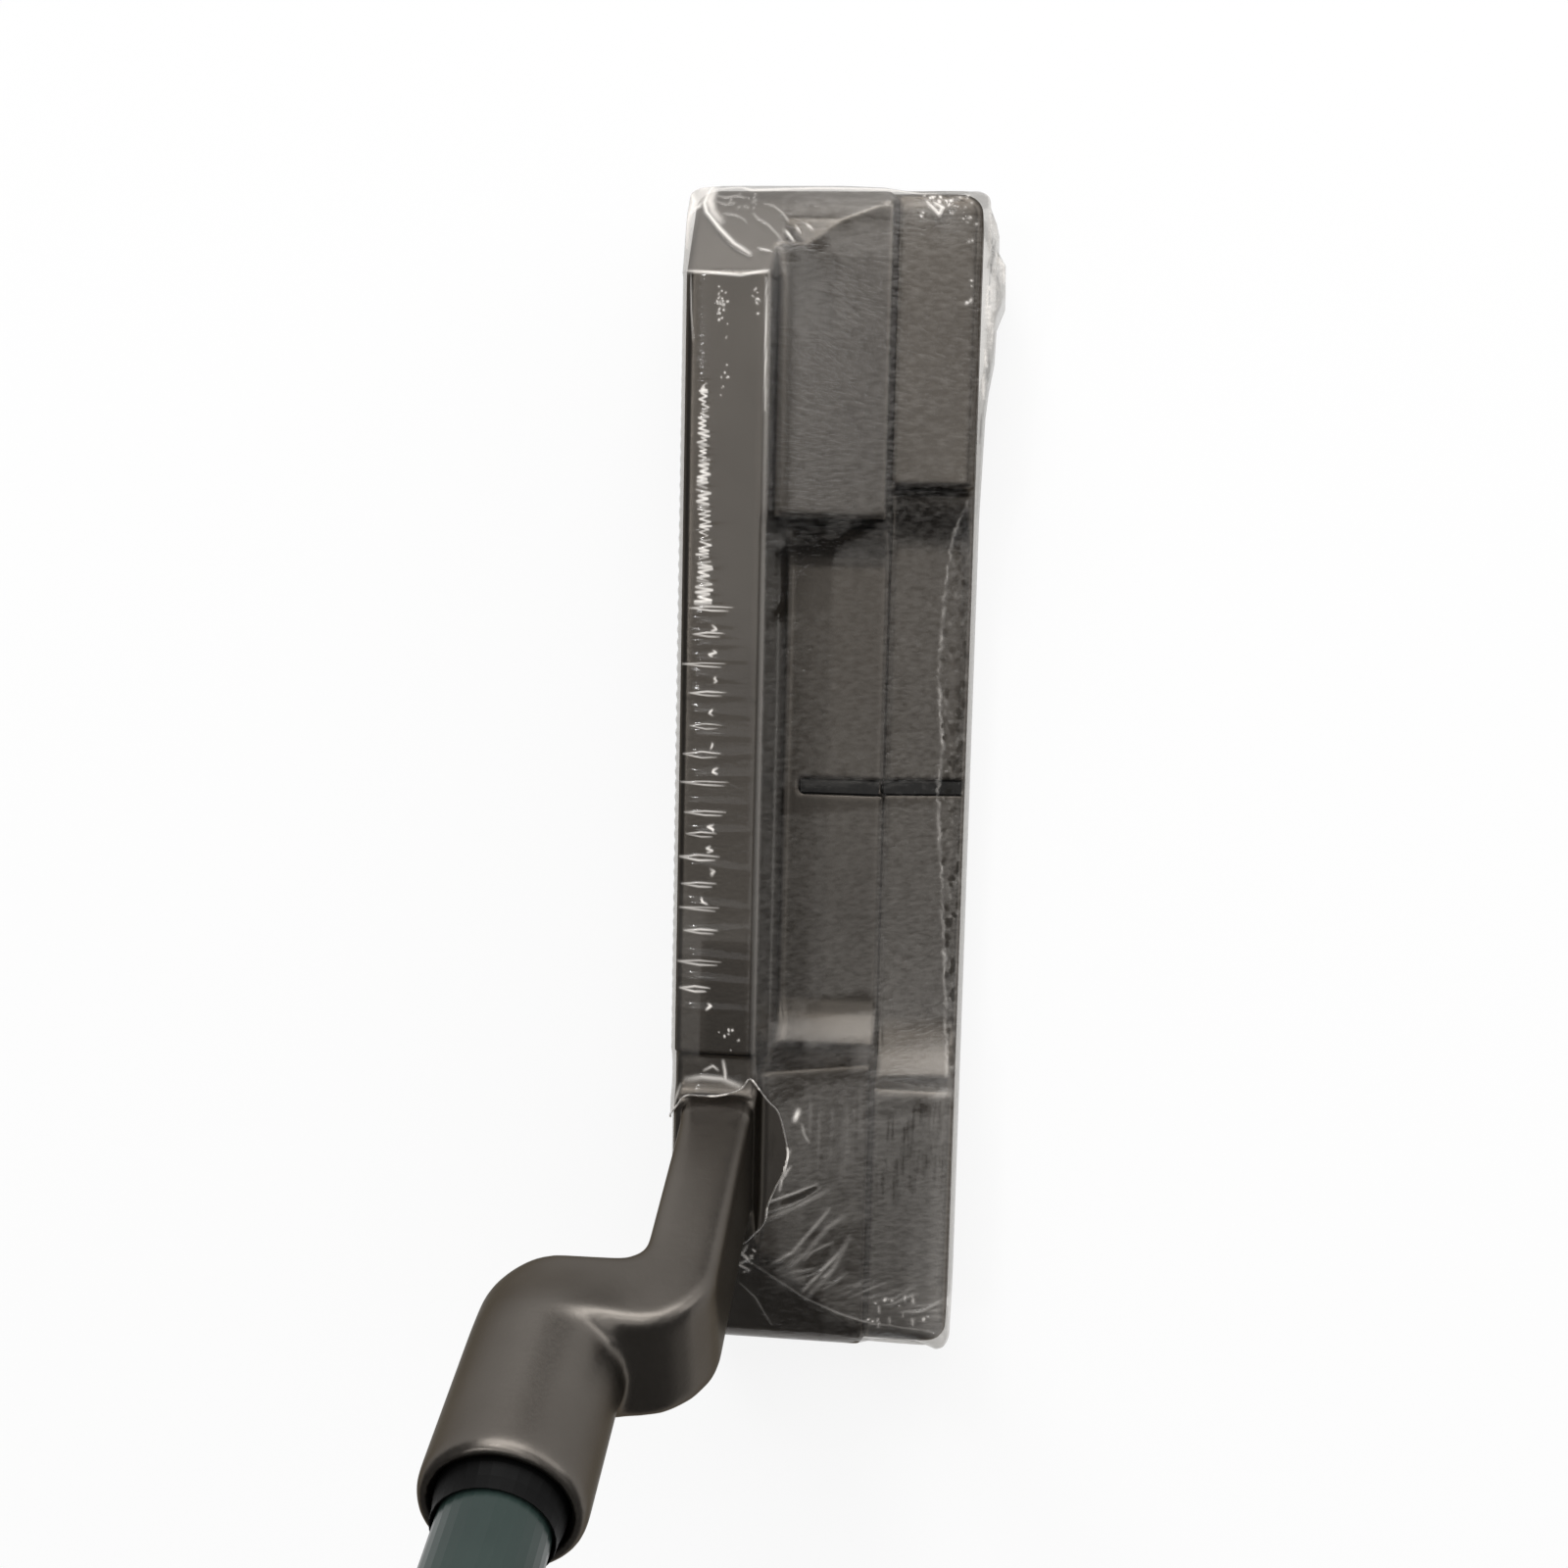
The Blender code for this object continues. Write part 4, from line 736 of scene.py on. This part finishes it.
def inside(points, x, y):
    """Which of the places are inside the closed outline."""
    result = np.zeros(x.shape, bool)
    for (ax, ay), (bx, by) in zip(points, points[1:] + points[:1]):
        if ay != by:
            crossing = ((ay > y) != (by > y)) & (x < (bx - ax) * (y - ay) / (by - ay) + ax)
            result ^= crossing
    return result


def film_surface():
    """The film's upper side: places along X and Y, heights and whiteness."""
    xs = np.arange(FILM_TOE_X, FILM_HEEL_X + FILM_GRID, FILM_GRID)
    ys = np.arange(FILM_FACE_Y, FILM_REAR_Y + FILM_GRID, FILM_GRID)
    skin = relaxed_film(head_heights(xs, ys) + FILM_CLEAR)
    stations = np.arange(FILM_TOE_X, FILM_HEEL_X, FILM_STATION)
    from_toe = stations - FILM_TOE_X
    tuck = fall_in(from_toe, FILM_TOE_ROUND) + fall_in(FILM_HEEL_X - stations, FILM_HEEL_ROUND)
    front = FILM_FACE_Y - np.interp(stations, *zip(*TOE_FRONT_SLACK)) + tuck
    wave, pace, middle, half_length = FRONT_WAVE
    front += wave * np.sin(stations * pace) * hump(stations, middle, half_length)
    rear = FILM_REAR_Y + np.interp(stations, *zip(*TOE_REAR_SLACK)) - tuck
    near = np.linspace(0.0, FRONT_STRIP, FRONT_POINTS + 1)[:-1]
    across = np.concatenate([near, np.linspace(FRONT_STRIP, FILM_REAR_Y - FILM_FACE_Y, REAR_POINTS)])
    across /= across[-1]
    x = np.repeat(stations[:, None], len(across), 1)
    y = front[:, None] + (rear - front)[:, None] * across[None, :]
    x += TOE_DRAW * np.clip(1 - from_toe / TOE_DRAW_LENGTH, 0, 1)[:, None] * np.clip(y / REAR_Y, 0, 1)
    z = sample(skin, xs, ys, x, y)
    slope = BLADE_TOP + FILM_CLEAR + (x - TOE_X - TOE_FACET_RUN) * TOE_FACET_DROP / TOE_FACET_RUN
    z = np.where((x < TOE_X + TOE_FACET_RUN) & (y < TOE_FOLD_Y), np.maximum(z, slope), z)
    crown = np.clip((CROWN_START_Y - y) / (CROWN_START_Y - FACE_Y), 0, CROWN_LIMIT) ** 2
    z -= CROWN_DROP * crown + END_TUCK * tuck[:, None]
    z -= fall_in(y - front[:, None], FILM_CORNER) + fall_in(rear[:, None] - y, FILM_CORNER)
    height, white = crease_and_painted_light_field(x, y)
    z += height + blade_ripples(x, y)
    white += (1 - np.abs(white)) * film_haze_and_painted_light(x, y)
    return stations, x, y, z, np.clip(white, -1, 1)


def film_haze_and_painted_light(x, y):
    """Cloudiness of the film, with painted light and painted shade, at each place, soft at the edges of each
    patch.
    """
    haze = np.zeros(x.shape)
    for (low_x, high_x), (low_y, high_y), (first, last) in HAZE_AND_PAINTED_LIGHT:
        within = np.minimum(np.minimum(x - low_x, high_x - x), np.minimum(y - low_y, high_y - y))
        share = np.clip((x - low_x) / (high_x - low_x), 0, 1)
        haze += (first + (last - first) * share) * np.clip(0.5 + within / (2 * PATCH_SOFT_EDGE), 0, 1)
    return haze


def film_grain(x, y):
    """How much of the metal's grain shows through the film at each place."""
    grain = np.where(np.abs(x) > CAVITY_END_X, GRAIN_WEIGHT, GRAIN_CAVITY)
    grain = np.where(y > TIER_Y, np.where(x < -CAVITY_END_X, GRAIN_REAR, GRAIN_WEIGHT), grain)
    return np.where(y < BLADE_REAR_Y, GRAIN_BLADE, grain)


def film_walls(stations, x, y, z):
    """The film's rear side, underside and face side at each station, as rows of points."""
    rise = np.linspace(0, 1, WALL_POINTS + 2)[1:-1]
    from_end = np.minimum(stations - TOE_X, HEEL_X - stations)
    floor = FILM_FLOOR + SOLE_RISE * fall_in(np.clip(from_end, 0, SOLE_ROUND), SOLE_ROUND) / SOLE_ROUND
    rows = []
    for i in range(len(stations)):
        rear_x, rear_y, rear_z = x[i, -1], y[i, -1], z[i, -1]
        front_x, front_y, front_z = x[i, 0], y[i, 0], z[i, 0]
        foot_y = front_y - (front_z - floor[i]) * LOFT
        low = floor[i] + FOOT_RISE
        start_y, run_y = rear_y - FOOT_INSET, foot_y - rear_y + 2 * FOOT_INSET
        rear = [(rear_x, rear_y, rear_z + (low - rear_z) * t) for t in rise]
        under = [(rear_x + (front_x - rear_x) * t, start_y + run_y * t, floor[i]) for t in rise]
        face = [(front_x, foot_y + (front_y - foot_y) * t, low + (front_z - low) * t) for t in rise]
        rows.append(rear + under + face)
    return np.array(rows)


def smooth_path(points, steps):
    """A curve through the points, as a list of places."""
    points = [Vector(p) for p in points]
    ends = [2 * points[0] - points[1]] + points + [2 * points[-1] - points[-2]]
    curve = []
    for a, b, c, d in zip(ends, ends[1:], ends[2:], ends[3:]):
        for k in range(steps):
            t = k / steps
            curve.append(0.5 * (2 * b + (c - a) * t + (2 * a - 5 * b + 4 * c - d) * t ** 2
                                + (3 * b - a - 3 * c + d) * t ** 3))
    return curve + [points[-1]]


def tube(name, path, radii, material):
    """A round bead along an open path."""
    points, faces = [], []
    last = len(path) - 1
    for i, place in enumerate(path):
        ahead = (path[min(i + 1, last)] - path[max(i - 1, 0)]).normalized()
        side = ahead.cross(Vector((0, 0, 1))).normalized()
        up = side.cross(ahead)
        for k in range(RIM_SIDES):
            angle = math.tau * k / RIM_SIDES
            points.append(place + (side * math.cos(angle) + up * math.sin(angle)) * radii[i])
    for i in range(last):
        here, there = i * RIM_SIDES, (i + 1) * RIM_SIDES
        for k in range(RIM_SIDES):
            m = (k + 1) % RIM_SIDES
            faces.append((here + k, here + m, there + m, there + k))
    return link_mesh(name, points, faces, material)


def film_faces(stations, x, y, z, points):
    """Faces of the film from station to station, round the opening for the neck."""
    count, top = x.shape
    ring = points.shape[1]
    cut = inside(list(OPENING), x, y)
    cut_face = (stations > OPENING[0][0]) & (stations < OPENING[-1][0])
    faces = []
    for i in range(count - 1):
        for j in range(ring):
            k = (j + 1) % ring
            if j < top - 1 and cut[i, j] and cut[i + 1, j + 1]:
                continue
            on_face = j >= ring - WALL_POINTS
            if on_face and cut_face[i] and points[i, j, 2] > z[i, 0] - OPENING_FACE_DEPTH:
                continue
            faces.append((i * ring + j, i * ring + k, (i + 1) * ring + k, (i + 1) * ring + j))
    return faces


def close_ends(rings, points, faces):
    """Add a rounded skin over the toe end and the heel end of the film."""
    count, ring = rings.shape[:2]
    for i, side in ((0, -1), (count - 1, 1)):
        loop = list(range(i * ring, (i + 1) * ring))
        middle = rings[i].mean(axis=0)
        for share, reach in END_CAPS:
            fresh = []
            for p in rings[i]:
                moved = middle + (p - middle) * share
                moved[0] = p[0] + side * reach
                fresh.append(len(points))
                points.append(tuple(moved))
            for j in range(ring):
                k = (j + 1) % ring
                faces.append((loop[j], loop[k], fresh[k], fresh[j]))
            loop = fresh
        faces.append(tuple(loop))


def keep_values(made, name, values):
    """Keep one number for each point of the mesh."""
    made.data.attributes.new(name, 'FLOAT', 'POINT').data.foreach_set("value", values)


def clean_mesh(mesh):
    """Drop points without a face, and turn all faces outward."""
    work = bmesh.new()
    work.from_mesh(mesh)
    bmesh.ops.delete(work, geom=[v for v in work.verts if not v.link_faces], context='VERTS')
    bmesh.ops.recalc_face_normals(work, faces=work.faces[:])
    work.to_mesh(mesh)
    work.free()
    mesh.shade_smooth()


def build_rim(stations, y, z, material):
    """Melted bead along the edge of the film's opening, whitish where it is thick."""
    path = []
    for place in smooth_path([(px, py, 0.0) for px, py in OPENING], RIM_STEPS):
        row = int(np.clip(round((place.x - stations[0]) / FILM_STATION), 0, len(stations) - 1))
        column = int(np.argmin(np.abs(y[row] - place.y)))
        path.append(Vector((place.x, max(place.y, y[row, 0]), z[row, column])))
    swell = np.convolve(rng.uniform(0.0, 1.0, len(path) + 4), np.ones(5) / 5, 'valid')
    rim = tube("film_rim", path, RIM_RADIUS * (0.5 + swell), material)
    keep_values(rim, "whiteness", np.repeat(np.clip(4.0 * swell - 2.0, 0.0, 0.8), RIM_SIDES))
    return rim


def build_film(clear, rim_clear):
    """The film round the head, and the bead along its opening."""
    stations, x, y, z, white = film_surface()
    walls = film_walls(stations, x, y, z)
    count, top = x.shape
    ring = top + walls.shape[1]
    rings = np.zeros((count, ring, 3))
    rings[:, :top] = np.stack([x, y, z], axis=2)
    rings[:, top:] = walls
    faces = film_faces(stations, x, y, z, rings)
    points = [tuple(p) for p in rings.reshape(-1, 3)]
    close_ends(rings, points, faces)
    film = link_mesh("film_wrap", points, faces, clear)
    for name, on_top in (("whiteness", white), ("grain", film_grain(x, y))):
        values = np.zeros(len(points))
        values[:count * ring].reshape(count, ring)[:, :top] = on_top
        keep_values(film, name, values)
    clean_mesh(film.data)
    return film, build_rim(stations, y, z, rim_clear)


def add_camera():
    """The camera at the photograph's place."""
    data = bpy.data.cameras.new("camera")
    data.sensor_width = SENSOR_WIDTH
    data.lens = CAMERA_LENS
    data.clip_start = CAMERA_NEAR * MM
    camera = bpy.data.objects.new("camera", data)
    bpy.context.scene.collection.objects.link(camera)
    right, down = Vector(CAMERA_RIGHT), Vector(CAMERA_DOWN)
    ahead = right.cross(-down)
    turn = Matrix((right, -down, ahead)).transposed()
    camera.matrix_world = Matrix.Translation(Vector(CAMERA_PLACE) * MM) @ turn.to_4x4()
    bpy.context.scene.camera = camera


def add_area(name, place, aim, width, height, radiance):
    """A soft lamp of this size that looks this bright from in front."""
    data = bpy.data.lights.new(name, 'AREA')
    data.shape = 'RECTANGLE'
    data.size, data.size_y = width, height
    data.energy = radiance * math.pi * width * height
    lamp = bpy.data.objects.new(name, data)
    bpy.context.scene.collection.objects.link(lamp)
    lamp.location = place
    lamp.rotation_euler = (Vector(aim) - Vector(place)).to_track_quat('-Z', 'Y').to_euler()
    lamp.visible_camera = False


def add_card():
    """A dark card beyond the heel, out of the camera's sight."""
    material, tree = new_material("card_heel_side_cloth")
    grain = add(tree, "ShaderNodeTexNoise", {"Scale": 200.0})
    colour = colour_ramp(tree, grain.outputs["Fac"],
                         (0.3, (CARD_SHADE,) * 3), (0.7, (CARD_SHADE * 1.2,) * 3))
    finish_material(tree, add(tree, "ShaderNodeBsdfDiffuse", {"Color": colour}))
    corners = [(CARD_X, -CARD_HALF, 0), (CARD_X, CARD_HALF, 0),
               (CARD_X, CARD_HALF, CARD_HEIGHT), (CARD_X, -CARD_HALF, CARD_HEIGHT)]
    card = link_mesh("card_heel_side", corners, [(0, 1, 2, 3)], material)
    card.visible_camera = False


def add_set():
    """Floor, lamps, card and plain white world."""
    reach = FLOOR_REACH
    corners = [(-reach, -reach, 0), (reach, -reach, 0), (reach, reach, 0), (-reach, reach, 0)]
    floor = link_mesh("floor", corners, [(0, 1, 2, 3)], floor_material())
    for lamp in LAMPS:
        add_area(*lamp)
    add_card()
    world = bpy.data.worlds.new("studio")
    world.use_nodes = True
    background = world.node_tree.nodes["Background"]
    background.inputs["Color"].default_value = (1, 1, 1, 1)
    background.inputs["Strength"].default_value = WORLD_LEVEL
    scene = bpy.context.scene
    scene.world = world
    scene.view_settings.view_transform = 'Standard'


def dress(name, material):
    """Give a node of the frame this material alone."""
    mesh = nodes[name].data
    mesh.materials.clear()
    mesh.materials.append(material)


def neck_softening():
    """Node group that rounds the edges of the neck, above the blade."""
    tree = bpy.data.node_groups.new("neck_softening", 'GeometryNodeTree')
    tree.interface.new_socket("Geometry", in_out='INPUT', socket_type='NodeSocketGeometry')
    tree.interface.new_socket("Geometry", in_out='OUTPUT', socket_type='NodeSocketGeometry')
    skin = add(tree, "NodeGroupInput").outputs[0]
    place = add(tree, "GeometryNodeInputPosition").outputs[0]
    height = add(tree, "ShaderNodeSeparateXYZ", {0: place}).outputs["Z"]
    share = add(tree, "ShaderNodeMapRange", {"Value": height, "From Min": NECK_SOFT_FROM * MM,
                                             "From Max": NECK_SOFT_TO * MM}).outputs[0]
    blur = add(tree, "GeometryNodeBlurAttribute", data_type='FLOAT_VECTOR')
    values = [socket for socket in blur.inputs if socket.name == "Value" and socket.enabled]
    tree.links.new(place, values[0])
    blur.inputs["Iterations"].default_value = NECK_SOFT_ROUNDS
    tree.links.new(share, blur.inputs["Weight"])
    rounded = [socket for socket in blur.outputs if socket.enabled][0]
    moved = add(tree, "GeometryNodeSetPosition", {"Geometry": skin, "Position": rounded}).outputs[0]
    add(tree, "NodeGroupOutput", {0: moved})
    return tree


def dress_head(metal):
    """Metal and soft edges for the head."""
    dress("putter_head", metal)
    head = nodes["putter_head"]
    remesh = head.modifiers.new("even_skin", 'REMESH')
    remesh.mode = 'VOXEL'
    remesh.voxel_size = SKIN_CELL * MM
    remesh.use_smooth_shade = True
    smooth = head.modifiers.new("soft_edges", 'SMOOTH')
    smooth.factor = SMOOTH_SHARE
    smooth.iterations = SMOOTH_ROUNDS
    soften = head.modifiers.new("soft_neck", 'NODES')
    soften.node_group = neck_softening()


def main():
    metal = metal_material()
    dress("sight_line_cavity", paint_material())
    dress("sight_line_flange", paint_material())
    dress("shaft", shaft_material())
    dress("hosel_bond", epoxy_material())
    dress("grip", rubber_material())
    dress("grip_tape", tape_material())
    film, rim = build_film(film_material("film_clear", ior=1.36, veil=0.01),
                           film_material("film_melted", ior=1.45, veil=0.1))
    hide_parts("head_film")
    for piece in (film, rim):
        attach(piece, "root")
    dress_head(metal)
    add_camera()
    add_set()


main()
